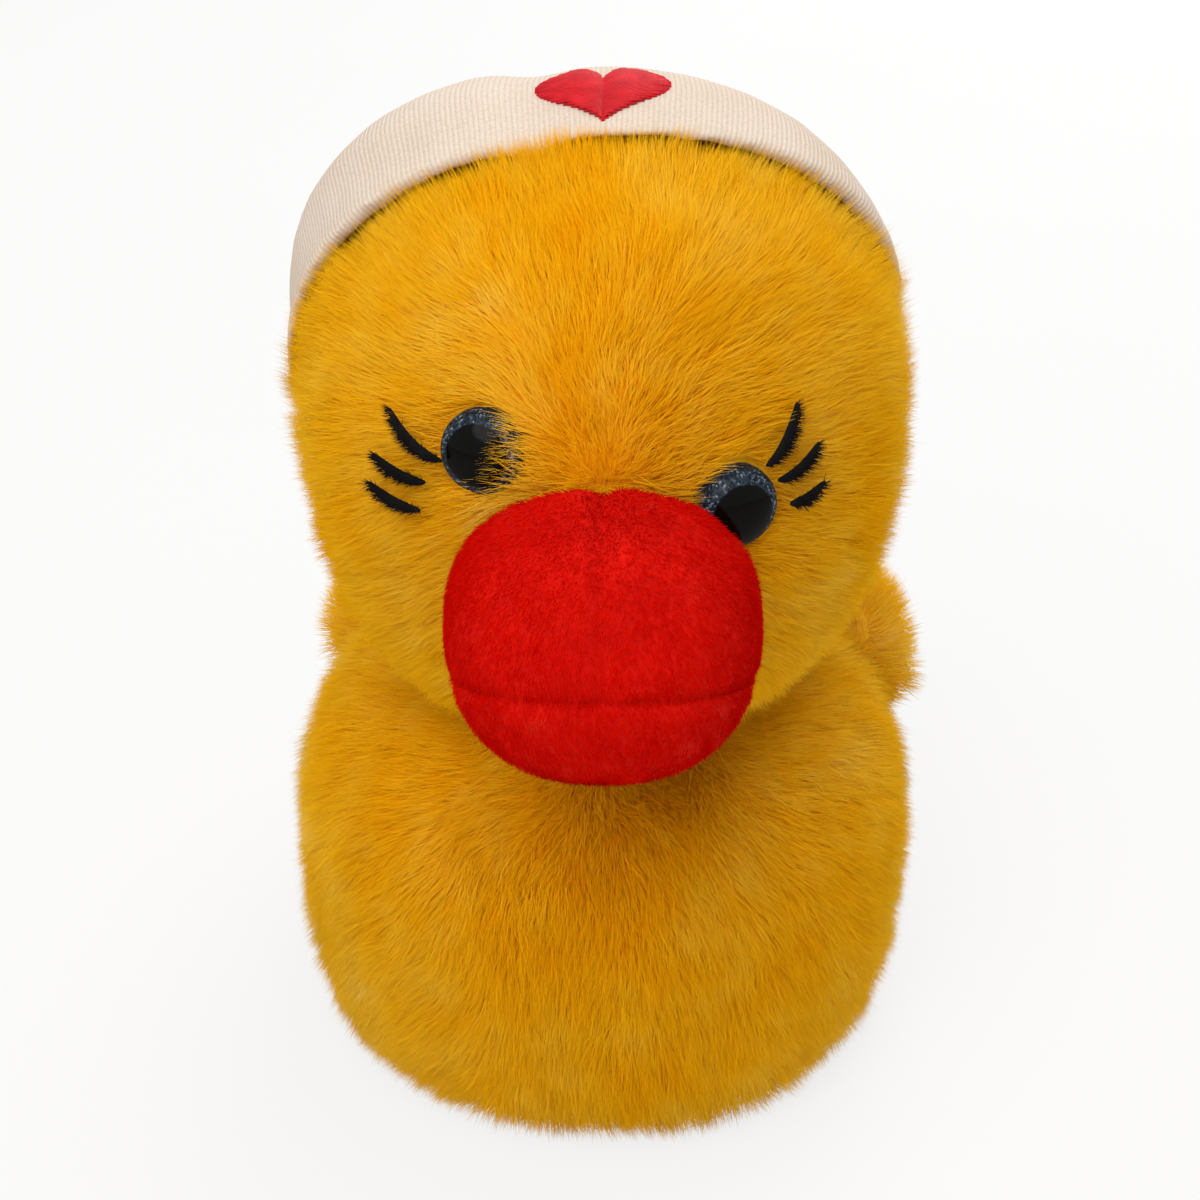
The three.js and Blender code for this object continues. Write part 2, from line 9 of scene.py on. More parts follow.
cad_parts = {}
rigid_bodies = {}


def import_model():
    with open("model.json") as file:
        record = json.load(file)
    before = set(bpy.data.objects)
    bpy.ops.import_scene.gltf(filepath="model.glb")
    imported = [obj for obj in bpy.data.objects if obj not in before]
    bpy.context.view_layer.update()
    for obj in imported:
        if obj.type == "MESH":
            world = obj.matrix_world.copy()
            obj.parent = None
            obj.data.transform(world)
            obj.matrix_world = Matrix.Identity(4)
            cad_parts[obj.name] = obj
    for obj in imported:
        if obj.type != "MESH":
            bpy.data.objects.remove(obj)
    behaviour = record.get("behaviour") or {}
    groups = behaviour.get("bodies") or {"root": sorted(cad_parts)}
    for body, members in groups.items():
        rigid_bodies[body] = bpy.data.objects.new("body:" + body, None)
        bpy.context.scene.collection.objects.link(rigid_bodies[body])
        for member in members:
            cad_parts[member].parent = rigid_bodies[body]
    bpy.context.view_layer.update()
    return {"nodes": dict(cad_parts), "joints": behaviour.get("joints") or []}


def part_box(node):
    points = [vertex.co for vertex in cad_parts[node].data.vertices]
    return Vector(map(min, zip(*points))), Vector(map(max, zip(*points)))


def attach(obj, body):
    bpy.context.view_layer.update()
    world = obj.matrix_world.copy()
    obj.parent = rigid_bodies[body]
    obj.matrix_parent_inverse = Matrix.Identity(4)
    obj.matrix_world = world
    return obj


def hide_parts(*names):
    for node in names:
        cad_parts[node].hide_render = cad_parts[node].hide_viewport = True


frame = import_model()

# Studio: the duck sits on a wide pale table in a pale room, under a large soft lamp ahead, a weaker one
# above and a third behind. The camera stands 0.4 m ahead, above the head, and looks down at 30 degrees.
MM = 0.001
CAMERA_PLACE, CAMERA_TILT = (0, -382.5 * MM, 309 * MM), math.radians(59.7)
TABLE_SIDE = 6
TABLE_GLOW = 0.78  # share of the plain white that the camera sees in the table


def dye(code):
    """A colour written as six hex digits, as the linear values that a socket takes."""
    parts = [int(code[i:i + 2], 16) / 255 for i in (0, 2, 4)]
    return (*[p / 12.92 if p <= 0.04045 else ((p + 0.055) / 1.055) ** 2.4 for p in parts], 1)


def node(tree, kind, mode=None, **inputs):
    """A shader node in its mode, with sockets given by name, or by _ and number, as a value or a link."""
    made = tree.nodes.new("ShaderNode" + kind)
    if mode:
        setattr(made, {"Mix": "data_type", "Mapping": "vector_type"}.get(kind, "operation"), mode)
    for name, value in inputs.items():
        socket = made.inputs[int(name[1:]) if name[0] == "_" else name.replace("_", " ")]
        if isinstance(value, bpy.types.NodeSocket):
            tree.links.new(value, socket)
        else:
            socket.default_value = value
    return made


bpy.ops.object.select_all(action="DESELECT")
bpy.ops.object.camera_add(location=CAMERA_PLACE, rotation=(CAMERA_TILT, 0, 0))
camera = bpy.context.active_object
camera.name = "camera"
camera.data.sensor_width = 36
camera.data.lens = 64.35
camera.data.shift_x = -0.0025
bpy.context.scene.camera = camera

for lamp_name, place, aim, side, watts in (
    ("soft_lamp_ahead", (-0.32, -0.8, 1.1), (0, 0, 0.1), 1.1, 9.7),
    ("soft_lamp_above", (0.3, 0.25, 1.1), (0, 0, 0.12), 0.9, 2.5),
    ("soft_lamp_behind", (0.35, 1.0, 0.6), (0, 0, 0.1), 0.9, 4.5),
):
    bpy.ops.object.light_add(type="AREA", location=place)
    lamp = bpy.context.active_object
    lamp.name = lamp_name
    lamp.rotation_euler = (Vector(aim) - Vector(place)).to_track_quat("-Z", "Y").to_euler()
    lamp.data.shape = "DISK"
    lamp.data.size = side
    lamp.data.energy = watts

room = bpy.data.worlds.new("pale_room")
bpy.context.scene.world = room
room.use_nodes = True
room.node_tree.nodes.clear()
room_path = node(room.node_tree, "LightPath")
room_seen = node(room.node_tree, "Math", "MAXIMUM", _0=room_path.outputs["Is Camera Ray"],
                 _1=room_path.outputs["Is Glossy Ray"])
room_clear = node(room.node_tree, "Math", "MAXIMUM", _0=room_seen.outputs[0],
                  _1=room_path.outputs["Is Transmission Ray"])
room_lit = node(room.node_tree, "Background", Color=(1, 1, 1, 1), Strength=0.65)
room_white = node(room.node_tree, "Background", Color=(1, 1, 1, 1), Strength=1.0)
room_mix = node(room.node_tree, "MixShader", _0=room_clear.outputs[0], _1=room_lit.outputs[0],
                _2=room_white.outputs[0])
node(room.node_tree, "OutputWorld", Surface=room_mix.outputs[0])

bpy.ops.mesh.primitive_plane_add(size=TABLE_SIDE, location=(0, 0, 0))
table = bpy.context.active_object
table.name = "pale_table"
table_top = bpy.data.materials.new("pale_table_top")
table_top.use_nodes = True
table_top.node_tree.nodes.clear()
table_path = node(table_top.node_tree, "LightPath")
table_grain = node(table_top.node_tree, "TexNoise", Scale=40.0, Detail=3.0)
table_tint = node(table_top.node_tree, "ValToRGB", Fac=table_grain.outputs["Fac"])
table_tint.color_ramp.elements[0].color = dye("D9D8D6")
table_tint.color_ramp.elements[1].color = dye("DEDDDC")
table_paint = node(table_top.node_tree, "BsdfDiffuse", Color=table_tint.outputs["Color"])
table_glow = node(table_top.node_tree, "Emission", Color=(1, 1, 1, 1), Strength=1.0)
table_share = node(table_top.node_tree, "Math", "MULTIPLY", _0=table_path.outputs["Is Camera Ray"],
                   _1=TABLE_GLOW)
table_mix = node(table_top.node_tree, "MixShader", _0=table_share.outputs[0],
                 _1=table_paint.outputs[0], _2=table_glow.outputs[0])
node(table_top.node_tree, "OutputMaterial", Surface=table_mix.outputs[0])
table.data.materials.append(table_top)
bpy.context.scene.view_settings.view_transform = "Standard"

# Body: two side panels and a chest panel of knitted pile cloth, cut from a deep boat shape, sewn
# inside out, turned and stuffed hard. The skin here is the knitted backing that the pile stands on.
PILE_INSET = 5 * MM  # of the backing inside the tips of the pile
SKIN_VOXEL, SKIN_EASE, SKIN_SWELL = 4 * MM, 6, 1.5 * MM
FILLING_PRESSURE, SETTLING_STEPS = 4, 20
SEAT_BAND = 22 * MM  # above the table, over which the backing runs down to the base seam


def coordinates(piece):
    found = np.empty(len(piece.data.vertices) * 3, np.float32)
    piece.data.vertices.foreach_get("co", found)
    return found.reshape(-1, 3).astype(float)


def set_coordinates(piece, places):
    piece.data.vertices.foreach_set("co", places.astype(np.float32).ravel())
    piece.data.update()


def apply_modifier(piece, kind, **settings):
    """Gives the piece a modifier with these settings and applies it."""
    bpy.ops.object.select_all(action="DESELECT")
    bpy.context.view_layer.objects.active = piece
    piece.select_set(True)
    bpy.ops.object.modifier_add(type=kind)
    modifier = piece.modifiers[-1]
    for setting, value in settings.items():
        setattr(modifier, setting, value)
    bpy.ops.object.modifier_apply(modifier=modifier.name)


def eased(piece, times):
    """Rounds the piece off, as cloth does over its filling."""
    apply_modifier(piece, "SMOOTH", factor=0.5, iterations=times)


def remeshed(piece, voxel):
    """Remeshes the active piece into even quads and keeps its outer shell alone."""
    piece.data.remesh_voxel_size = voxel
    bpy.ops.object.voxel_remesh()
    bpy.ops.object.mode_set(mode="EDIT")
    bpy.ops.mesh.separate(type="LOOSE")
    bpy.ops.object.mode_set(mode="OBJECT")
    shells = sorted(bpy.context.selected_objects, key=lambda o: len(o.data.vertices))
    for speck in shells[:-1]:
        bpy.data.objects.remove(speck)
    return shells[-1]


def closed_copy(name, nodes, voxel):
    """The CAD nodes' copies, merged and remeshed into one closed form."""
    bpy.ops.object.select_all(action="DESELECT")
    for node_name in nodes:
        frame["nodes"][node_name].hide_set(False)
        frame["nodes"][node_name].hide_viewport = False
        frame["nodes"][node_name].select_set(True)
    bpy.context.view_layer.objects.active = frame["nodes"][nodes[0]]
    bpy.ops.object.duplicate()
    if len(nodes) > 1:
        bpy.ops.object.join()
    form = bpy.context.active_object
    form.parent = None
    for key in list(form.keys()):
        del form[key]
    form.data.materials.clear()
    bpy.ops.object.mode_set(mode="EDIT")
    bpy.ops.mesh.select_all(action="SELECT")
    bpy.ops.mesh.remove_doubles(threshold=0.01 * MM)
    bpy.ops.object.mode_set(mode="OBJECT")
    form = remeshed(form, voxel)
    form.name = form.data.name = name
    return form


def inflated(form, swell):
    """Lets the filling's pressure round the form, with each point kept within swell of its start."""
    start = coordinates(form)
    bpy.ops.object.modifier_add(type="CLOTH")
    cloth = form.modifiers[-1]
    cloth.settings.use_pressure = True
    cloth.settings.uniform_pressure_force = FILLING_PRESSURE
    cloth.settings.effector_weights.gravity = 0
    for step in range(1, SETTLING_STEPS + 1):
        bpy.context.scene.frame_set(step)
    bpy.ops.object.modifier_apply(modifier=cloth.name)
    bpy.context.scene.frame_set(1)
    move = coordinates(form) - start
    far = np.linalg.norm(move, axis=1, keepdims=True)
    set_coordinates(form, start + move * np.minimum(1, swell / np.maximum(far, 1e-9)))


def stuffed(name, nodes, voxel, inset, ease, swell):
    """A closed form drawn in by inset, eased smooth, and swollen by its filling."""
    form = closed_copy(name, nodes, voxel)
    eased(form, ease)
    apply_modifier(form, "DISPLACE", strength=-inset, mid_level=0)
    eased(form, ease)
    inflated(form, swell)
    apply_modifier(form, "SUBSURF", levels=1, render_levels=1)
    bpy.ops.object.shade_smooth()
    return form


def group_socket(tree, name, kind, out, value=None):
    made = tree.interface.new_socket(name, in_out="OUTPUT" if out else "INPUT", socket_type=kind)
    if value is not None:
        made.default_value = value


# Cloth grain, which every cloth here shares: fine knit with its hollows painted darker as shade, and soft
# patches where the dye took unevenly
cloth_grain = bpy.data.node_groups.new("cloth_grain", "ShaderNodeTree")
group_socket(cloth_grain, "Light", "NodeSocketColor", False, (1, 1, 1, 1))
group_socket(cloth_grain, "Deep", "NodeSocketColor", False, (0, 0, 0, 1))
group_socket(cloth_grain, "Patches", "NodeSocketFloat", False, 60)
group_socket(cloth_grain, "Knit", "NodeSocketFloat", False, 1500)
group_socket(cloth_grain, "Color", "NodeSocketColor", True)
group_socket(cloth_grain, "Height", "NodeSocketFloat", True)
grain_in = cloth_grain.nodes.new("NodeGroupInput")
grain_out = cloth_grain.nodes.new("NodeGroupOutput")
grain_place = node(cloth_grain, "TexCoord")
grain_patch = node(cloth_grain, "TexNoise", Vector=grain_place.outputs["Object"],
                   Scale=grain_in.outputs["Patches"], Detail=4.0)
grain_knit = node(cloth_grain, "TexVoronoi", Vector=grain_place.outputs["Object"],
                  Scale=grain_in.outputs["Knit"])
grain_share = node(cloth_grain, "MapRange", Value=grain_patch.outputs["Fac"], From_Min=0.3, From_Max=0.7)
# Painted shade: the knit's hollows are darkened in the colour, and the same values serve the bump as its
# height
grain_hollow_shade = node(cloth_grain, "MapRange", Value=grain_knit.outputs["Distance"], To_Min=1.0, To_Max=0.82)
grain_blend = node(cloth_grain, "Mix", "RGBA", _0=grain_share.outputs[0], _6=grain_in.outputs["Deep"],
                   _7=grain_in.outputs["Light"])
grain_tone = node(cloth_grain, "VectorMath", "MULTIPLY", _0=grain_blend.outputs[2],
                  _1=grain_hollow_shade.outputs[0])
cloth_grain.links.new(grain_tone.outputs[0], grain_out.inputs["Color"])
cloth_grain.links.new(grain_hollow_shade.outputs[0], grain_out.inputs["Height"])


def cloth(name, light, deep, roughness, patches=60.0, knit=1500.0, bump=0.15):
    """A cloth finish on the shared grain, with its own dyes."""
    made = bpy.data.materials.new(name)
    made.use_nodes = True
    tree = made.node_tree
    tree.nodes.clear()
    grain = tree.nodes.new("ShaderNodeGroup")
    grain.node_tree = cloth_grain
    grain.inputs["Light"].default_value = dye(light)
    grain.inputs["Deep"].default_value = dye(deep)
    grain.inputs["Patches"].default_value = patches
    grain.inputs["Knit"].default_value = knit
    relief = node(tree, "Bump", Strength=bump, Distance=0.3 * MM, Height=grain.outputs["Height"])
    shader = node(tree, "BsdfPrincipled", Base_Color=grain.outputs["Color"], Roughness=roughness,
                  Specular_IOR_Level=0.1, Normal=relief.outputs[0])
    node(tree, "OutputMaterial", Surface=shader.outputs[0])
    return made


backing = cloth("pile_backing", "FFC21E", "F5AC0A", 0.95)
body_skin = stuffed("body_stuffed", ["body_cover", "body_stuffing", "base_panel", "pellet_bag"],
                    SKIN_VOXEL, PILE_INSET, SKIN_EASE, SKIN_SWELL)
places = coordinates(body_skin)
low = np.clip((SEAT_BAND - places[:, 2]) / (SEAT_BAND - PILE_INSET), 0, 1)
places[:, 2] -= (PILE_INSET - 1 * MM) * low * low * (3 - 2 * low)
set_coordinates(body_skin, places)
body_skin.data.materials.append(backing)
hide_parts("body_cover", "body_stuffing")
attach(body_skin, "duck")

# Head: a ball of the same cloth from two cheeks and a long crown panel, stuffed tighter than the
# body and ladder stitched down on it round the neck hole.
HEAD_MIDDLE = np.array([0, -20, 140]) * MM
head_skin = stuffed(
    "head_stuffed",
    ["head_cover", "head_stuffing", "left_eye_dome", "right_eye_dome", "left_eye_lock_washer",
     "right_eye_lock_washer", "left_eye_glitter_disc", "right_eye_glitter_disc"],
    SKIN_VOXEL, PILE_INSET, SKIN_EASE, SKIN_SWELL,
)
head_skin.data.materials.append(backing)
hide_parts("head_cover", "head_stuffing")
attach(head_skin, "duck")

# Bill: an upper and a lower panel of short red pile round one firm ball of filling. They meet at the
# mouth seam, and the upper one has a seam down its middle that pulls a crease between the eyes.
BILL_INSET = 0.3 * MM  # of the backing inside the tips of its short pile
MOUTH_PLACE = Vector((0, -76 * MM, 117 * MM))
MOUTH_NORMAL = Matrix.Rotation(math.radians(-23), 3, "X") @ Vector((0, 0, 1))
MOUTH_DEPTH, MOUTH_WIDTH = 0.9 * MM, 1.4 * MM
MOUTH_BACK, MOUTH_BAND = -70 * MM, 25 * MM  # ahead of which, and over which, the mouth deepens
CREASE_DEPTH, CREASE_WIDTH = 1.3 * MM, 2.0 * MM
CREASE_FOOT, CREASE_BAND = 126 * MM, 14 * MM  # above which, and over which, the crease deepens
BILL_MIDDLE = np.array((0, -76 * MM, 127 * MM))
red_backing = cloth("red_backing", "E01408", "C40A02", 0.9, patches=90.0)
bill_form = stuffed("bill_upper", ["bill_upper_cover", "bill_lower_cover", "bill_stuffing"],
                    2 * MM, BILL_INSET, 4, 1 * MM)
places = coordinates(bill_form)
inward = BILL_MIDDLE - places
inward /= np.linalg.norm(inward, axis=1, keepdims=True)
from_mouth = (places - np.array(MOUTH_PLACE)) @ np.array(MOUTH_NORMAL)
top = np.clip((places[:, 2] - CREASE_FOOT) / CREASE_BAND, 0, 1)
front = np.clip((MOUTH_BACK - places[:, 1]) / MOUTH_BAND, 0, 1)
drawn_in = MOUTH_DEPTH * front * np.exp(-((from_mouth / MOUTH_WIDTH) ** 2))
drawn_in += CREASE_DEPTH * top * np.exp(-((places[:, 0] / CREASE_WIDTH) ** 2))
set_coordinates(bill_form, places + inward * drawn_in[:, None])
for bill_name, replaced, outward in (
    ("bill_lower", ["bill_lower_cover"], -1),
    ("bill_upper", ["bill_upper_cover", "bill_stuffing"], 1),
):
    bill = bill_form
    bpy.ops.object.select_all(action="DESELECT")
    bill.select_set(True)
    bpy.context.view_layer.objects.active = bill
    if outward < 0:
        bpy.ops.object.duplicate()
        bill = bpy.context.active_object
        bill.name = bill.data.name = bill_name
    bpy.ops.object.mode_set(mode="EDIT")
    bpy.ops.mesh.select_all(action="SELECT")
    bpy.ops.mesh.bisect(plane_co=MOUTH_PLACE, plane_no=MOUTH_NORMAL * outward, use_fill=True,
                        clear_inner=True)
    bpy.ops.mesh.select_all(action="SELECT")
    bpy.ops.mesh.normals_make_consistent(inside=False)
    bpy.ops.object.mode_set(mode="OBJECT")
    bpy.ops.object.shade_smooth()
    bill.data.materials.append(red_backing)
    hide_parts(*replaced)
    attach(bill, "duck")

# Eyes: each a moulded dome over a black pupil with a ring of glitter cloth round it, on a ridged post
# that goes through the pile and the backing into a washer pressed on from inside.
EYE_RADIUS, EYE_SUNK, EYE_RIM, EYE_HEIGHT = 7.3 * MM, 4 * MM, 1 * MM, 5.4 * MM
PUPIL_SHARE = 0.73  # of the dome's radius
POST_RADIUS, POST_FOOT, RIDGES, RIDGE_DEPTH, RIDGES_TOP = 1.7 * MM, -16 * MM, 4, 0.35 * MM, -9 * MM
EYE_SIDES, DOME_STEPS = 48, 14
eye_seats = {}


def eye_finish(side, seat):
    """Black pupil, glitter ring and a polished clear coat, drawn round the eye's own middle."""
    made = bpy.data.materials.new(f"{side}_eye_dome_finish")
    made.use_nodes = True
    tree = made.node_tree
    tree.nodes.clear()
    place = node(tree, "TexCoord")
    centred = node(tree, "Mapping", "TEXTURE", Vector=place.outputs["Object"], Location=seat.translation,
                   Rotation=seat.to_euler())
    split = node(tree, "SeparateXYZ", Vector=centred.outputs[0])
    flat = node(tree, "CombineXYZ", X=split.outputs["X"], Y=split.outputs["Y"])
    reach = node(tree, "VectorMath", "LENGTH", _0=flat.outputs[0])
    ring = node(tree, "MapRange", Value=reach.outputs["Value"],
                From_Min=EYE_RADIUS * (PUPIL_SHARE - 0.02), From_Max=EYE_RADIUS * (PUPIL_SHARE + 0.02))
    # Glitter: the palest flakes are painted glints, and the darker ones are the flakes' own slate and
    # blue-grey
    flakes = node(tree, "TexVoronoi", Vector=centred.outputs[0], Scale=2600.0)
    flake_glint = node(tree, "MapRange", Value=flakes.outputs["Color"], From_Min=0.25, From_Max=1.0)
    glitter = node(tree, "ValToRGB", Fac=flake_glint.outputs[0])
    glitter.color_ramp.elements[0].color = dye("161E28")
    glitter.color_ramp.elements[1].color = dye("8FA0AE")
    glitter.color_ramp.elements.new(0.6).color = dye("313C48")
    drawn = node(tree, "Mix", "RGBA", _0=ring.outputs[0], _6=dye("070605"), _7=glitter.outputs["Color"])
    shader = node(tree, "BsdfPrincipled", Base_Color=drawn.outputs[2], Roughness=0.4,
                  Specular_IOR_Level=0.0, Coat_Weight=0.3, Coat_Roughness=0.14, Coat_IOR=1.33)
    node(tree, "OutputMaterial", Surface=shader.outputs[0])
    return made


for side in ("left", "right"):
    disc = coordinates(frame["nodes"][f"{side}_eye_glitter_disc"])
    middle = disc.mean(0)
    out = np.linalg.svd(disc - middle)[2][2]
    out = out * np.sign(out @ (middle - HEAD_MIDDLE))
    surface = middle + out * (EYE_SUNK + 0.6 * MM)
    turn = Vector(out).to_track_quat("Z", "Y").to_matrix().to_4x4()
    seat = Matrix.Translation(surface) @ turn
    eye_seats[side] = seat
    profile = [(0, POST_FOOT), (POST_RADIUS - RIDGE_DEPTH, POST_FOOT)]
    for ridge in range(RIDGES):
        foot = POST_FOOT + ridge * MM
        profile += [(POST_RADIUS, foot + MM / 3), (POST_RADIUS - RIDGE_DEPTH, foot + MM)]
    profile += [(POST_RADIUS, RIDGES_TOP), (POST_RADIUS, -EYE_SUNK), (EYE_RADIUS, -EYE_SUNK)]
    dome_rise = EYE_HEIGHT - EYE_RIM
    for step in range(DOME_STEPS + 1):
        angle = step / DOME_STEPS * math.pi / 2
        profile.append((EYE_RADIUS * math.cos(angle), EYE_RIM - EYE_SUNK + dome_rise * math.sin(angle)))
    bpy.ops.object.select_all(action="DESELECT")
    bpy.ops.mesh.primitive_circle_add(vertices=len(profile), radius=1)
    dome = bpy.context.active_object
    dome.name = dome.data.name = f"{side}_eye"
    dome.data.clear_geometry()
    dome.data.from_pydata([(r, 0, h) for r, h in profile],
                          [(i, i + 1) for i in range(len(profile) - 1)], [])
    apply_modifier(dome, "SCREW", angle=math.tau, steps=EYE_SIDES, render_steps=EYE_SIDES,
                   use_merge_vertices=True, merge_threshold=0.001 * MM)
    bpy.ops.object.mode_set(mode="EDIT")
    bpy.ops.mesh.select_all(action="SELECT")
    bpy.ops.mesh.remove_doubles(threshold=0.001 * MM)
    bpy.ops.mesh.normals_make_consistent(inside=False)
    bpy.ops.object.mode_set(mode="OBJECT")
    dome.data.transform(seat)
    bpy.ops.object.shade_smooth_by_angle(angle=math.radians(40))
    dome.data.materials.append(eye_finish(side, seat))
    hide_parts(f"{side}_eye_dome")
    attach(dome, "duck")

# Lashes: three curved strokes of black satin stitch outside each eye, sewn through the cloth before
# the head was stuffed. Loose ends of the thread and of the pile cross at their edges.
STRAND_SIDES = 3
TONE_WIDTH = 0.0015  # of the palette, across one side of a fibre
ROOT_TO_TIP = 0.08  # of the palette's height
SOFT_SHADING = 0.8  # how far the cloth's facing evens out each fibre's own
LASH_VOXEL, LASH_ENDS_PER_MM2, LASH_END_RADIUS = 0.25 * MM, 14, 0.1 * MM


def unit(vectors):
    return vectors / np.maximum(np.linalg.norm(vectors, axis=1, keepdims=True), 1e-12)


def facings(piece):
    """The way each point of a piece faces."""
    found = np.empty(len(piece.data.vertices) * 3, np.float32)
    piece.data.vertices.foreach_get("normal", found)
    return found.reshape(-1, 3).astype(float)


def scattered(skin, per_mm2, seed):
    """Places and normals spread evenly over a skin."""
    rng = np.random.default_rng(seed)
    me = skin.data
    me.calc_loop_triangles()
    corners = np.empty(len(me.loop_triangles) * 3, np.int32)
    me.loop_triangles.foreach_get("vertices", corners)
    corners = corners.reshape(-1, 3)
    places, normals = coordinates(skin), facings(skin)
    a, b, c = (places[corners[:, i]] for i in range(3))
    area = np.linalg.norm(np.cross(b - a, c - a), axis=1) / 2
    count = int(area.sum() / MM**2 * per_mm2)
    chosen = np.searchsorted(np.cumsum(area) / area.sum(), rng.random(count))
    chosen = np.minimum(chosen, len(area) - 1)
    s, t = np.sqrt(rng.random(count))[:, None], rng.random(count)[:, None]
    weights = (1 - s, s * (1 - t), s * t)
    at = sum(w * places[corners[chosen, i]] for i, w in enumerate(weights))
    facing = unit(sum(w * normals[corners[chosen, i]] for i, w in enumerate(weights)))
    return at, facing


def spikes(points, facing, tone, radius, seed):
    """Three sided fibres through two or three points, that thin to a tip and catch the light partly as
    the cloth under them does: places, corners, face sizes, palette and facings."""
    rng = np.random.default_rng(seed)
    count, rings = len(tone), len(points) - 1
    ahead = unit(points[1] - points[0])
    beside = unit(np.cross(ahead, rng.normal(size=(count, 3))))
    over = np.cross(ahead, beside)
    verts, palette, lit = [], [], []
    for ring in range(rings):
        for side in range(STRAND_SIDES):
            turn = math.tau * side / STRAND_SIDES
            spoke = beside * math.cos(turn) + over * math.sin(turn)
            verts.append(points[ring] + radius * (1 - 0.2 * ring) * spoke)
            palette.append((side * TONE_WIDTH, ring / rings * ROOT_TO_TIP))
            lit.append(unit(spoke + SOFT_SHADING * facing))
    verts.append(points[-1])
    palette.append((TONE_WIDTH, ROOT_TO_TIP))
    lit.append(unit(facing + 0.3 * ahead))
    faces = []
    for side in range(STRAND_SIDES):
        after = (side + 1) % STRAND_SIDES
        if rings == 2:
            faces.append((side, after, after + STRAND_SIDES, side + STRAND_SIDES))
        foot = (rings - 1) * STRAND_SIDES
        faces.append((side + foot, after + foot, rings * STRAND_SIDES))
    corner = np.array([i for face in faces for i in face])
    loops = np.arange(count)[:, None] * len(verts) + corner
    uv = np.broadcast_to(np.array(palette)[corner], (count, len(corner), 2)).copy()
    uv[:, :, 0] += 0.01 + 0.97 * np.clip(tone, 0, 1)[:, None]
    return (np.stack(verts, 1).reshape(-1, 3), loops.ravel(),
            np.tile([len(face) for face in faces], count), uv.reshape(-1, 2),
            np.stack(lit, 1).reshape(-1, 3))


def fibre_mesh(name, kinds, finish, body):
    """One piece that holds all these kinds of fibres."""
    verts = np.concatenate([kind[0] for kind in kinds])
    before = np.cumsum([0] + [len(kind[0]) for kind in kinds])
    loops = np.concatenate([kind[1] + start for kind, start in zip(kinds, before)])
    sizes = np.concatenate([kind[2] for kind in kinds])
    me = bpy.data.meshes.new(name)
    me.vertices.add(len(verts))
    me.vertices.foreach_set("co", verts.astype(np.float32).ravel())
    me.loops.add(len(loops))
    me.loops.foreach_set("vertex_index", loops.astype(np.int32))
    me.polygons.add(len(sizes))
    me.polygons.foreach_set("loop_start", (np.cumsum(sizes) - sizes).astype(np.int32))
    me.update(calc_edges=True)
    palette = me.uv_layers.new(name="OFBake")
    palette.data.foreach_set("uv", np.concatenate([kind[3] for kind in kinds]).astype(np.float32).ravel())
    me.polygons.foreach_set("use_smooth", np.ones(len(sizes), bool))
    me.normals_split_custom_set_from_vertices(np.concatenate([kind[4] for kind in kinds]))
    me.materials.append(finish)
    piece = bpy.data.objects.new(name, me)
    bpy.context.scene.collection.objects.link(piece)
    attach(piece, body)


black_thread = cloth("black_thread", "120F0E", "050404", 0.8, patches=200.0, knit=2500.0)
black_thread.node_tree.nodes["Principled BSDF"].inputs["Specular IOR Level"].default_value = 0.15
for side in ("left", "right"):
    for number, row in enumerate(("upper", "middle", "lower")):
        lash = closed_copy(f"{side}_{row}_lash", [f"{side}_lash_{row}"], LASH_VOXEL)
        eased(lash, 2)
        bpy.ops.object.shade_smooth()
        lash.data.materials.append(black_thread)
        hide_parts(f"{side}_lash_{row}")
        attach(lash, "duck")
        rng = np.random.default_rng(300 + number)
        roots, normals = scattered(lash, LASH_ENDS_PER_MM2, 310 + number)
        outer = (normals * unit(roots - HEAD_MIDDLE)).sum(1) > 0.1
        roots, normals = roots[outer], normals[outer]
        along = np.array([1 if side == "left" else -1, 0.3, 0.1]) + rng.normal(0, 0.35, roots.shape)
        tips = roots + unit(along * 1.0 + normals * 0.6) * rng.uniform(0.9, 2.0, len(roots))[:, None] * MM
        ends = spikes([roots - normals * 0.2 * MM, tips], normals, np.zeros(len(roots)),
                      LASH_END_RADIUS, 320)
        fibre_mesh(f"{side}_{row}_lash_ends", [ends], black_thread, "duck")

# Cap: a wide cuff of fine ribbed twill, cut double, turned and pressed, that lies back over the head,
# and a fuller bag of the same twill sewn in behind it. Both are hand stitched down to the pile.
RIB_PITCH, RIB_RADIUS, RIB_AXIS = 0.93 * MM, 60 * MM, 138 * MM
DIMPLE_PLACE, DIMPLE_DEPTH, DIMPLE_WIDTH = -12 * MM, 1.8 * MM, 6 * MM
DIMPLE_FOOT, DIMPLE_BAND = 170 * MM, 15 * MM  # above which, and over which, the dimple deepens
SEAM_DEPTH, SEAM_WIDTH = 0.8 * MM, 2.6 * MM
BAG_PUFF, PUFF_REACH, PUFF_BAND = 6 * MM, 12 * MM, 18 * MM
BAG_GATHERS, GATHER_DEPTH, GATHER_REACH = 22, 0.6 * MM, 6 * MM
CAP_VOXEL = 1.6 * MM
twill = cloth("cream_twill", "E8D7C6", "E0CCB8", 0.85, patches=40.0, knit=1800.0, bump=0.1)
weave = twill.node_tree
weave_place = node(weave, "TexCoord")
weave_split = node(weave, "SeparateXYZ", Vector=weave_place.outputs["Object"])
weave_rise = node(weave, "Math", "SUBTRACT", _0=weave_split.outputs["Z"], _1=RIB_AXIS)
weave_turn = node(weave, "Math", "ARCTAN2", _0=weave_rise.outputs[0], _1=weave_split.outputs["X"])
weave_wave = node(weave, "Math", "MULTIPLY", _0=weave_turn.outputs[0],
                  _1=math.tau * RIB_RADIUS / RIB_PITCH)
weave_rib = node(weave, "Math", "SINE", _0=weave_wave.outputs[0])
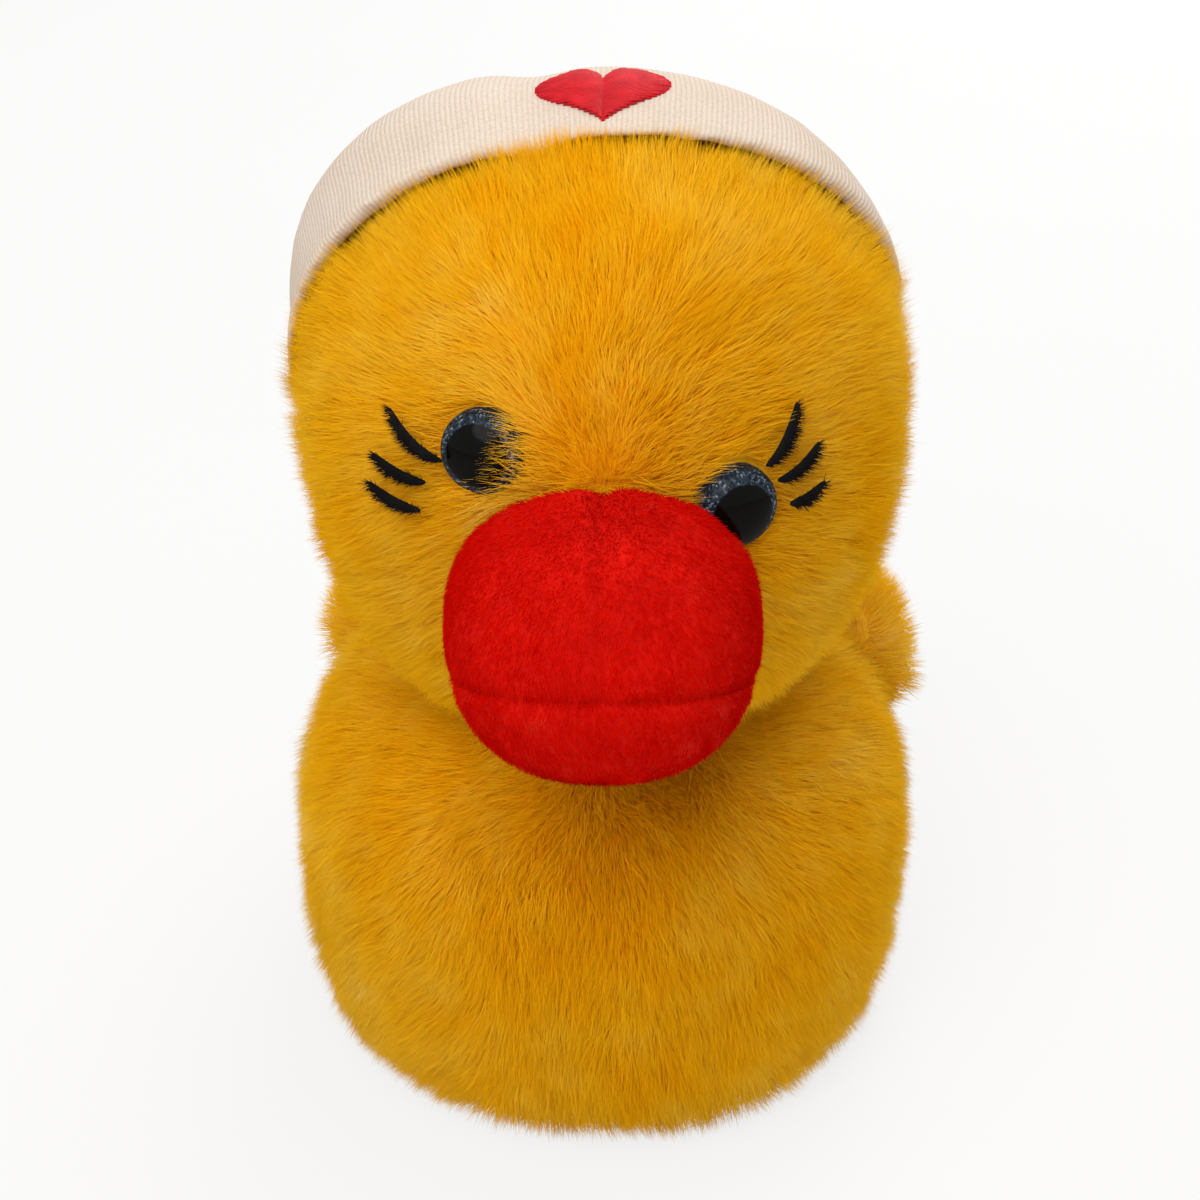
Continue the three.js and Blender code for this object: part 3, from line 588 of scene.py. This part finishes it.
# Painted shade: the grooves between the ribs are darkened in the dye, on top of the ribs' bump
weave_groove_shade = node(weave, "MapRange", Value=weave_rib.outputs[0], From_Min=-1.0, From_Max=-0.2,
                    To_Min=0.86, To_Max=1.0)
weave_shader = weave.nodes["Principled BSDF"]
weave_dye = weave_shader.inputs["Base Color"].links[0].from_socket
weave_shaded_dye = node(weave, "VectorMath", "MULTIPLY", _0=weave_dye, _1=weave_groove_shade.outputs[0])
weave.links.new(weave_shaded_dye.outputs[0], weave_shader.inputs["Base Color"])
weave_relief = node(weave, "Bump", Strength=0.35, Distance=0.2 * MM, Height=weave_rib.outputs[0],
                    Normal=weave_shader.inputs["Normal"].links[0].from_socket)
weave.links.new(weave_relief.outputs[0], weave_shader.inputs["Normal"])


def solid_tree(*names):
    """A search tree over the faces of some finished pieces."""
    verts, faces = [], []
    for name in names:
        me = bpy.data.objects[name].data
        me.calc_loop_triangles()
        faces += [[len(verts) + i for i in triangle.vertices] for triangle in me.loop_triangles]
        verts += [v.co.copy() for v in me.vertices]
    return BVHTree.FromPolygons(verts, faces, all_triangles=True)


cap = closed_copy("sewn_cap", ["cap_cuff", "cap_crown"], CAP_VOXEL)
eased(cap, 8)
places, normals = coordinates(cap), facings(cap)
high = np.clip((places[:, 2] - DIMPLE_FOOT) / DIMPLE_BAND, 0, 1)
places[:, 2] -= DIMPLE_DEPTH * high * np.exp(-(((places[:, 0] - DIMPLE_PLACE) / DIMPLE_WIDTH) ** 2))
cuff_tree, crown_tree = solid_tree("cap_cuff"), solid_tree("cap_crown")
from_cuff = np.array([cuff_tree.find_nearest(Vector(p))[3] for p in places])
from_crown = np.array([crown_tree.find_nearest(Vector(p))[3] for p in places])
outer = np.clip((normals * unit(places - HEAD_MIDDLE)).sum(1) * 3, 0, 1)
on_crown = np.clip((from_cuff - from_crown) / (2 * MM), 0, 1)
crown_low, crown_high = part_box("cap_crown")
middle = np.array(crown_low + crown_high) / 2
turn = np.arctan2(places[:, 2] - middle[2], places[:, 0] - middle[0])
rise = np.clip((places[:, 2] - crown_low.z) / PUFF_BAND, 0, 1)
puff = BAG_PUFF * (1 - np.exp(-from_cuff / PUFF_REACH)) * rise
puff += GATHER_DEPTH * np.sin(BAG_GATHERS * turn) * np.exp(-from_cuff / GATHER_REACH)
seam = np.exp(-(((from_cuff - from_crown) / SEAM_WIDTH) ** 2))
set_coordinates(cap, places + normals * (outer * (on_crown * puff - SEAM_DEPTH * seam))[:, None])
eased(cap, 6)
apply_modifier(cap, "SUBSURF", levels=1, render_levels=1)
bpy.ops.object.shade_smooth()
cap.data.materials.append(twill)
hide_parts("cap_cuff", "cap_crown")
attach(cap, "duck")

# Heart: red satin stitch on the cuff. Each half is worked in close slanting threads that meet in the
# middle, over a padding of the same thread, so that it stands a little proud.
HEART_HALF, HEART_LENGTH, HEART_UNITS = 12 * MM, 21 * MM, 28.9  # units in the length of the curve below
THREAD_PITCH, THREAD_RADIUS, THREAD_SLANT = 0.5 * MM, 0.3 * MM, math.radians(24)
THREAD_STEP, THREAD_RISE, THREAD_STEPS, EDGE_POINTS = 0.35 * MM, 0.55 * MM, 48, 120
red_thread = cloth("red_thread", "E0242E", "B8101C", 0.5, patches=260.0, knit=2600.0)
cap_tree = solid_tree("sewn_cap")
low_corner, high_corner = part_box("cap_heart")
heart_middle = (low_corner + high_corner) / 2
_, heart_out, _, _ = cap_tree.find_nearest(heart_middle)
heart_up = (Vector((0, 1, 0)) - heart_out * heart_out.y).normalized()
heart_side = heart_up.cross(heart_out)
edge = []
for i in range(EDGE_POINTS):
    t = math.tau * i / EDGE_POINTS
    edge.append((HEART_HALF * math.sin(t) ** 3, HEART_LENGTH / HEART_UNITS * (
        13 * math.cos(t) - 5 * math.cos(2 * t) - 2 * math.cos(3 * t) - math.cos(4 * t) + 2.5)))


def within_heart(x, y):
    inside = False
    for (x1, y1), (x2, y2) in zip(edge, edge[1:] + edge[:1]):
        if (y1 > y) != (y2 > y) and x < x1 + (y - y1) / (y2 - y1) * (x2 - x1):
            inside = not inside
    return inside


bpy.ops.object.select_all(action="DESELECT")
bpy.ops.curve.primitive_nurbs_path_add()
stitches = bpy.context.active_object
stitches.name = "stitched_heart"
stitches.data.splines.clear()
stitches.data.bevel_depth = THREAD_RADIUS
stitches.data.bevel_resolution = 1
stitches.data.use_fill_caps = True
for half in (-1, 1):
    for row in range(-10, 60):
        foot = -HEART_LENGTH + row * THREAD_PITCH + (0.25 if half > 0 else 0) * THREAD_PITCH
        steps = [i * THREAD_STEP for i in range(THREAD_STEPS)]
        places = [(half * d * math.cos(THREAD_SLANT), foot + d * math.sin(THREAD_SLANT)) for d in steps]
        held = [place for place in places if within_heart(*place)]
        if len(held) < 2:
            continue
        held = [held[0]] + held[2:-2:3] + [held[-1]]
        spline = stitches.data.splines.new("POLY")
        spline.points.add(len(held) - 1)
        for i, (x, y) in enumerate(held):
            over = heart_middle + heart_side * x + heart_up * y + heart_out * 8 * MM
            at, facing, _, _ = cap_tree.ray_cast(over, -heart_out)
            share = i / (len(held) - 1)
            height = 0.1 + 0.9 * (1 - abs(2 * share - 1) ** 4)
            at = at + facing * height * THREAD_RISE
            spline.points[i].co = (*at, 1)
            spline.points[i].radius = 0.7 + 0.3 * (1 - abs(2 * share - 1) ** 3)
bpy.ops.object.convert(target="MESH")
bpy.ops.object.shade_smooth()
stitches.data.name = "stitched_heart"
stitches.data.materials.clear()
stitches.data.materials.append(red_thread)
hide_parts("cap_heart")
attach(stitches, "duck")

# Wings and tail: leaf shaped pads and a small upturned point of the same pile cloth, lightly stuffed.
# Each wing is sewn down only along its front end, and the tail all round.
WING_INSET, TAIL_INSET = 3 * MM, 4 * MM
ROOT_REACH, GUSSET_REACH, GUSSET_DEPTH = 10 * MM, 15 * MM, 7 * MM
TAIL_LIE = np.array([[0, 0.8, 0.6]])


def from_hinge(body, places):
    """How far each place is from the line that the body turns on, or None where it doesn't turn."""
    for joint in frame["joints"]:
        if joint["child"] == body:
            return np.linalg.norm(np.cross(places - joint["pos_m"], joint["axis"]), axis=1)
    return None


appendages = {}
for pad_name, nodes, body, inset, sunk in (
    ("left_wing_pad", ["left_wing_cover", "left_wing_stuffing"], "left_wing", WING_INSET, (-7, 0, -1)),
    ("right_wing_pad", ["right_wing_cover", "right_wing_stuffing"], "right_wing", WING_INSET, (7, 0, -1)),
    ("tail_pad", ["tail_cover", "tail_stuffing"], "duck", TAIL_INSET, (0, -9, -5)),
):
    pad = stuffed(pad_name, nodes, 2 * MM, inset, 4, 1 * MM)
    places = coordinates(pad)
    from_root = from_hinge(body, places)
    if from_root is None:
        along = places @ unit(TAIL_LIE)[0]
        from_root = along - along.min()
    rooted = np.clip(1.2 - from_root / ROOT_REACH, 0, 1)
    inward = unit(np.array(sunk, float)[None])[0]
    gusset = np.clip(facings(pad) @ inward, 0, 1) * np.clip(1.6 - from_root / GUSSET_REACH, 0, 1)
    places += rooted[:, None] * np.array(sunk) * MM + (GUSSET_DEPTH * gusset)[:, None] * inward
    set_coordinates(pad, places)
    pad.data.materials.append(backing)
    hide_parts(*nodes)
    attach(pad, body)
    appendages[pad_name] = pad

# Base: a flat oval of the same cloth that closes the body below, its pile shorn short.
base = closed_copy("base_oval", ["base_panel"], 1.5 * MM)
eased(base, 2)
bpy.ops.object.shade_smooth()
base.data.materials.append(cloth("shorn_pile", "DDA21C", "C08410", 0.95))
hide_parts("base_panel")
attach(base, "duck")

# Inside: the pouch of pellets that weights the seat, the bill's share of filling, and the eyes' glitter
# discs and lock washers, all hidden by the covers.
pouch = cloth("pellet_pouch", "DAD6CA", "C4BEAE", 0.9)
glitter_cloth = cloth("glitter_cloth", "5A6C80", "1C222B", 0.35, patches=900.0, knit=2600.0)
washer_white = cloth("washer_plastic", "EAEAE6", "DEDED8", 0.45, bump=0.02)
for node_name, finish in (
    ("pellet_bag", pouch),
    ("left_eye_glitter_disc", glitter_cloth), ("right_eye_glitter_disc", glitter_cloth),
    ("left_eye_lock_washer", washer_white), ("right_eye_lock_washer", washer_white),
):
    inner = frame["nodes"][node_name]
    inner.data.materials.clear()
    inner.data.materials.append(finish)

# Pile: long yellow fibres knitted into the backing, brushed out after the duck is closed. On the head
# they spread from the root of the bill, and on the body they lie out and down from the neck.
FRONT_PER_MM2, BACK_PER_MM2 = 7.2, 4.2
CURVED_SHARE = 0.08  # of the fibres that carry a bend, the rest being straight
FIBRES_A_LOCK = 50
FIBRE_RADIUS = 0.105 * MM
MOST_FIBRES = 40500  # in one panel
SWIRL_PITCH, EDDY_PITCH, TUFT_PITCH, LEAN_PITCH, LENGTH_PITCH = 30 * MM, 11 * MM, 17 * MM, 14 * MM, 11 * MM


def pile_finish(name, root_tones, tip_tones):
    """A pile dye: the palette's width runs from deep to pale fibres, and its height from root to tip."""
    made = bpy.data.materials.new(name)
    made.use_nodes = True
    tree = made.node_tree
    tree.nodes.clear()
    palette = node(tree, "UVMap")
    palette.uv_map = "OFBake"
    split = node(tree, "SeparateXYZ", Vector=palette.outputs["UV"])
    along = node(tree, "MapRange", Value=split.outputs["Y"], From_Max=ROOT_TO_TIP)
    ramps = []
    for tones in (root_tones, tip_tones):
        ramp = node(tree, "ValToRGB", Fac=split.outputs["X"])
        ramp.color_ramp.elements[0].color = dye(tones[0])
        ramp.color_ramp.elements[1].color = dye(tones[-1])
        for i, tone in enumerate(tones[1:-1]):
            ramp.color_ramp.elements.new((i + 1) / (len(tones) - 1)).color = dye(tone)
        ramps.append(ramp)
    shade = node(tree, "Mix", "RGBA", _0=along.outputs[0], _6=ramps[0].outputs["Color"],
                 _7=ramps[1].outputs["Color"])
    shader = node(tree, "BsdfPrincipled", Base_Color=shade.outputs[2], Roughness=0.65,
                  Specular_IOR_Level=0.0)
    node(tree, "OutputMaterial", Surface=shader.outputs[0])
    return made


def waves(points, pitch, seed):
    """Smooth unevenness from about -1 to 1, that changes over that pitch."""
    rng = np.random.default_rng(seed)
    total = np.zeros(len(points))
    for _ in range(7):
        wave = rng.normal(size=3)
        wave *= math.tau / (pitch * np.linalg.norm(wave)) * rng.uniform(0.6, 1.5)
        total += np.sin(points @ wave + rng.uniform(0, math.tau))
    return total / 4


def brushed(roots, normals, flow, length, lean, seed, gather=0.35, loose=1.0, tufts=0.2):
    """The root, bend and tip of each fibre, brushed along the flow, and the tone of its lock. Locks draw
    together by gather, wander by loose, and pale by tufts, each one value or one for each fibre."""
    rng = np.random.default_rng(seed)
    count = len(roots)
    flow = unit(flow - normals * (flow * normals).sum(1, keepdims=True))
    across = np.cross(normals, flow)
    swirl = 0.4 * waves(roots, SWIRL_PITCH, seed + 1) + 0.3 * waves(roots, EDDY_PITCH, seed + 2)
    swirl = loose * (swirl + rng.normal(0, 0.3, count))
    flow = flow * np.cos(swirl)[:, None] + across * np.sin(swirl)[:, None]
    tuft = np.clip(waves(roots, TUFT_PITCH, seed + 5) - 0.5, 0, 1)
    lean = lean + 0.1 * waves(roots, LEAN_PITCH, seed + 3) + rng.normal(0, 0.13, count) + 0.1 * tuft
    length = length * (1 + 0.07 * waves(roots, LENGTH_PITCH, seed + 4)) * rng.uniform(0.75, 1.1, count)
    points = [roots - normals * 0.3 * MM]
    for tilt in (lean * 0.7, lean * 1.3):
        step = normals * np.cos(tilt)[:, None] + flow * np.sin(tilt)[:, None]
        points.append(points[-1] + step * (length / 2)[:, None])
    leaders = rng.choice(count, max(1, count // FIBRES_A_LOCK), replace=False)
    nearest = kdtree.KDTree(len(leaders))
    for i, leader in enumerate(leaders):
        nearest.insert(roots[leader], i)
    nearest.balance()
    leader = leaders[np.array([nearest.find(root)[1] for root in roots])]
    pull = rng.uniform(0.2, 1.0, count)[:, None] * np.reshape(gather, (-1, 1))
    spread = points[0] - points[0][leader]
    points[1] = points[1] + (points[1][leader] + 0.95 * spread - points[1]) * pull * 0.5
    points[2] = points[2] + (points[2][leader] + 0.5 * spread - points[2]) * pull
    lock = rng.normal(0, 0.06, count)[leader] + rng.normal(0, 0.06, count) + tufts * tuft
    return points, lock


def sewn(name, points, facing, tone, chosen, body, seed):
    """The chosen fibres as one yellow panel's piece, some with a bend and the rest straight."""
    chosen = np.random.default_rng(seed).permutation(chosen)[:MOST_FIBRES]
    split = int(len(chosen) * CURVED_SHARE)
    bent, straight = chosen[:split], chosen[split:]
    fibre_mesh(name, [
        spikes([p[bent] for p in points], facing[bent], tone[bent], FIBRE_RADIUS, seed),
        spikes([points[0][straight], points[2][straight]], facing[straight], tone[straight],
               FIBRE_RADIUS, seed + 1),
    ], yellow_pile, body)


def depth_in(tree, points):
    """How deep each point lies inside a closed piece, with points outside below zero."""
    found = np.empty(len(points))
    side = Vector((0.83, 0.31, 0.46)).normalized()
    for i, point in enumerate(points):
        at = Vector(point)
        inside = -1
        hit = tree.ray_cast(at, side)[0]
        while hit is not None:
            inside = -inside
            hit = tree.ray_cast(hit + side * 0.01 * MM, side)[0]
        found[i] = inside * tree.find_nearest(at)[3]
    return found


thin_out = 1.0
yellow_pile = pile_finish(
    "yellow_pile",
    ["F09E00", "FAAE08", "FFBA20", "FFC65C"],
    ["FFAE04", "FFBE14", "FFCC3A", "FFDA80"],
)

# Head pile: four panels of it, the crown, two cheeks and the nape, that meet in hidden seams. It spreads
# from the root of the bill, stands up past the hem of the cap, and some of it strays over the eyes.
BILL_ROOT = np.array([0, -72, 150]) * MM
CAP_REACH = 14 * MM  # from the cap, within which the pile stands up past its hem
HEAD_BACK, NAPE_SEAM, CROWN_SEAM = 5 * MM, -8 * MM, 156 * MM
FAN_REACH, FAN_SIDE = 15 * MM, 3 * MM  # of the fibres that fan over the right eye
EYE_GAP, DOME_GAP, ROOTS_BEHIND, TIPS_BEHIND = 0.2 * MM, 0.5 * MM, -20 * MM, -15 * MM
CHEEK_TOP, CHEEK_BAND, BILL_REACH = 158 * MM, 12 * MM, 6 * MM
HEM_GAP, HEM_SLOPE = 1 * MM, 7.5 * MM  # how the pile rises ahead of the hem
LASH_REACH, LASH_GAP = 34 * MM, 1.1 * MM


def in_seat(seat, points):
    """Points as measured from an eye's middle, with Z out of the head."""
    return (np.c_[points, np.ones(len(points))] @ np.array(seat.inverted()).T)[:, :3]


bill_tree = solid_tree("bill_upper", "bill_lower")
body_tree = solid_tree("body_stuffed")
head_tree = solid_tree("head_stuffed")
lash_tree = solid_tree(*[f"{s}_{r}_lash" for s in ("left", "right") for r in ("upper", "middle", "lower")])
roots, normals = scattered(head_skin, FRONT_PER_MM2 * thin_out, 11)
rng = np.random.default_rng(12)
keep = rng.random(len(roots)) < np.where(roots[:, 1] > HEAD_BACK, BACK_PER_MM2 / FRONT_PER_MM2, 1.0)
for side, seat in eye_seats.items():
    local = in_seat(seat, roots)
    keep &= (np.hypot(local[:, 0], local[:, 1]) > EYE_RADIUS) | (local[:, 2] < ROOTS_BEHIND)
roots, normals = roots[keep], normals[keep]
covered = np.array([all(
    cap_tree.ray_cast(Vector(p), Vector(n) + Vector(lean), 30 * MM)[0] is not None
    for lean in ((0, 0, 0), (0, -0.8, -0.4), (0, 0.5, -0.8))) for p, n in zip(roots, normals)])
bill_depth = depth_in(bill_tree, roots)
keep = ~covered & (bill_depth < -0.3 * MM) & (depth_in(body_tree, roots) < 0)
roots, normals, bill_depth = roots[keep], normals[keep], bill_depth[keep]
from_cap = np.array([cap_tree.find_nearest(Vector(p))[3] for p in roots])
away = roots - BILL_ROOT
flow = away * (1, 0, 1)
flow[:, 2] *= np.where(away[:, 2] > 0, 0.9, 0.45)
flow[:, 1] = 45 * MM
near_bill = np.clip(-bill_depth / BILL_REACH, 0, 1)
near_cap = from_cap < CAP_REACH
before_hem = np.sqrt(np.clip(from_cap**2 - PILE_INSET**2, 0, None))
lean = np.minimum(0.75, np.arctan((before_hem - HEM_GAP) / HEM_SLOPE))
from_eye = np.linalg.norm(roots - np.array(eye_seats["right"].translation), axis=1)
fan = (from_eye < FAN_REACH) & (roots[:, 0] > eye_seats["right"].translation.x + FAN_SIDE)
length = (5 + 4 * near_bill + 1.5 * near_cap + 3 * fan) * MM
cheeks = np.clip((CHEEK_TOP - roots[:, 2]) / CHEEK_BAND, 0, 1)
points, lock = brushed(roots, normals, flow, length, lean, 21, gather=0.35 + 0.25 * cheeks,
                       loose=1 + 0.5 * cheeks, tufts=0.1 + 0.3 * cheeks)
tone = 0.36 + 0.14 * waves(roots, 34 * MM, 31) + 0.1 * waves(roots, 13 * MM, 32) + lock + 0.2 * fan
kept = np.array([bill_tree.ray_cast(Vector(a), Vector(b - a), np.linalg.norm(b - a))[0] is None
                 for a, b in zip(points[0], points[2])])
for side, seat in eye_seats.items():
    crossing = 0.85 if side == "right" else 0.08
    bridge = np.sign(roots[:, 0]) * (roots[:, 0] - seat.translation.x) < 0
    share = np.where(bridge, crossing, 0.04)
    draw = rng.random(len(roots))
    for i in (1, 2):
        local = in_seat(seat, points[i])
        reach = np.hypot(local[:, 0], local[:, 1])
        rise = np.sqrt(np.clip(1 - (reach / EYE_RADIUS) ** 2, 0, 1))
        dome = EYE_RIM - EYE_SUNK + (EYE_HEIGHT - EYE_RIM) * rise
        over = (reach < EYE_RADIUS + EYE_GAP) & (local[:, 2] > TIPS_BEHIND)
        kept &= ~over | (draw < share)
        lift = np.where(over, np.maximum(dome + DOME_GAP - local[:, 2], 0), 0)
        points[i] = points[i] + lift[:, None] * np.array(seat.to_3x3())[:, 2]
    close = np.linalg.norm(roots - np.array(seat.translation), axis=1) < LASH_REACH
    for i in np.flatnonzero(close & kept):
        near = min(lash_tree.find_nearest(Vector(points[0][i] * (1 - t) + points[2][i] * t))[3]
                   for t in (0.35, 0.7, 1.0))
        if near < LASH_GAP and rng.random() < 0.6:
            root = points[0][i]
            points[1][i] = root + (points[1][i] - root) * 0.5
            points[2][i] = root + (points[2][i] - root) * 0.5
for i in np.flatnonzero(near_cap):
    root, tip = Vector(points[0][i]), Vector(points[2][i])
    under = cap_tree.ray_cast(root, tip - root, (tip - root).length)[3]
    if under is not None:
        for p in (1, 2):
            points[p][i] = points[0][i] + (points[p][i] - points[0][i]) * 0.9 * under / (tip - root).length
panel = np.where(roots[:, 1] > NAPE_SEAM, 3, np.where(
    roots[:, 2] > CROWN_SEAM, 0, np.where(roots[:, 0] > 0, 1, 2)))
for number, name in enumerate(("crown_pile", "left_cheek_pile", "right_cheek_pile", "nape_pile")):
    sewn(name, points, normals, tone, np.flatnonzero((panel == number) & kept), "duck", 40 + number)

# Body pile: six panels of it, two of the chest, two sides and two of the back. It lies out and down from
# the neck, is longer there, and is pressed flat where it meets the table.
BACK_SEAM, CHEST_HALF, BODY_HALF = 15 * MM, 30 * MM, 60 * MM
NECK_REACH, FOOT_BAND = 16 * MM, 50 * MM
roots, normals = scattered(body_skin, FRONT_PER_MM2 * thin_out, 41)
keep = rng.random(len(roots)) < np.where(roots[:, 1] > BACK_SEAM, BACK_PER_MM2 / FRONT_PER_MM2, 1.0)
keep &= (roots[:, 2] > 3 * MM) & (normals[:, 2] > -0.8)
roots, normals = roots[keep], normals[keep]
head_depth = depth_in(head_tree, roots)
keep = head_depth < 1 * MM
roots, normals, head_depth = roots[keep], normals[keep], head_depth[keep]
flow = np.stack([0.8 * roots[:, 0], 0.4 * (roots[:, 1] + 7 * MM), np.full(len(roots), -45 * MM)], 1)
near_head = np.clip(-head_depth / NECK_REACH, 0, 1)
length = (5.5 + 4 * near_head) * MM
lean = np.full(len(roots), 0.78)
aside = np.clip(np.abs(roots[:, 0]) / BODY_HALF, 0, 1)
lower = np.clip((FOOT_BAND - roots[:, 2]) / FOOT_BAND, 0, 1)
points, lock = brushed(roots, normals, flow, length, lean, 51, gather=0.35 + 0.2 * aside,
                       loose=1 + 0.4 * np.maximum(aside, lower), tufts=0.2 + 0.1 * aside)
for p in (1, 2):
    points[p][:, 2] = np.maximum(points[p][:, 2], (0.3 + 0.2 * rng.random(len(roots))) * MM)
# Deeper orange at the chest's middle and paler towards the sides: partly the pile's own colour, partly
# painted shade and red bounce light under the head and bill
tone = 0.2 + 0.28 * aside + 0.1 * lower + lock
tone += 0.14 * waves(roots, 34 * MM, 61) + 0.1 * waves(roots, 14 * MM, 62)
left = roots[:, 0] > 0
panel = left + np.where(roots[:, 1] > BACK_SEAM, 4, np.where(np.abs(roots[:, 0]) < CHEST_HALF, 0, 2))
for number, name in enumerate(("right_chest_pile", "left_chest_pile", "right_side_pile", "left_side_pile",
                               "right_back_pile", "left_back_pile")):
    sewn(name, points, normals, tone, np.flatnonzero(panel == number), "duck", 60 + number)

# Wing and tail pile: one panel of it for each, brushed from the seam to the point. At the wings' sewn
# ends it stands out, so that the seams stay covered when the wings fold out.
WING_PILE_LENGTH, SEAM_REACH = 7.5 * MM, 9 * MM
for pad_name, body, towards in (
    ("left_wing_pad", "left_wing", (-0.2, 1, -0.3)),
    ("right_wing_pad", "right_wing", (0.2, 1, -0.3)),
    ("tail_pad", "duck", (0, 0.74, 0.67)),
):
    roots, normals = scattered(appendages[pad_name], BACK_PER_MM2 * thin_out, 71)
    flow = np.tile(np.array(towards), (len(roots), 1))
    lean = np.full(len(roots), 0.85)
    from_seam = from_hinge(body, roots)
    if from_seam is not None:
        lean -= 1.1 * np.clip(1.3 - from_seam / SEAM_REACH, 0, 1)
    points, lock = brushed(roots, normals, flow, np.full(len(roots), WING_PILE_LENGTH), lean, 81)
    tone = 0.55 + 0.14 * waves(roots, 20 * MM, 91) + lock
    sewn(pad_name.replace("_pad", "_pile"), points, normals, tone, np.arange(len(roots)), body, 80)

# Bill pile: red fibres, shorn to about two millimetres and brushed down over the bill from its root, with
# patches worn paler on the lower half, and a deeper red below that is painted shade under the bill.
BILL_PER_MM2, BILL_PILE_LENGTH, BILL_PILE_RADIUS = 9.1, 1.8 * MM, 0.1 * MM
WORN_TOP, WORN_BAND, PAINTED_SHADE_TOP, PAINTED_SHADE_BAND = 135 * MM, 15 * MM, 112 * MM, 12 * MM
# The deep reds at the low end of both palettes serve the painted shade under the bill
red_pile = pile_finish(
    "red_pile",
    ["900200", "D40600", "E00C04", "E81810"],
    ["A80400", "E40800", "F01408", "FF4C38"],
)
for bill_name in ("bill_upper", "bill_lower"):
    bill = bpy.data.objects[bill_name]
    roots, normals = scattered(bill, BILL_PER_MM2 * thin_out, 101)
    plane = (roots - np.array(MOUTH_PLACE)) @ np.array(MOUTH_NORMAL)
    facing = np.abs(normals @ np.array(MOUTH_NORMAL))
    keep = ~((np.abs(plane) < 1.5 * MM) & (facing > 0.9)) & (depth_in(head_tree, roots) < 1 * MM)
    roots, normals = roots[keep], normals[keep]
    flow = roots - np.array([0, -60, 160]) * MM
    points, lock = brushed(roots, normals, flow, np.full(len(roots), BILL_PILE_LENGTH),
                           np.full(len(roots), 0.9), 111, gather=0.2, loose=0.5)
    worn = np.clip((WORN_TOP - roots[:, 2]) / WORN_BAND, 0, 1)
    under = np.clip((PAINTED_SHADE_TOP - roots[:, 2]) / PAINTED_SHADE_BAND, 0, 1)
    tone = 0.5 + 0.08 * waves(roots, 14 * MM, 121) + 0.2 * worn * waves(roots, 5 * MM, 122) + lock
    # Painted shade: the underside of the bill is given a deeper red where it falls in shade
    tone -= 0.55 * under
    short = spikes([points[0], points[2]], normals, tone, BILL_PILE_RADIUS, 130)
    fibre_mesh(f"{bill_name}_pile", [short], red_pile, "duck")
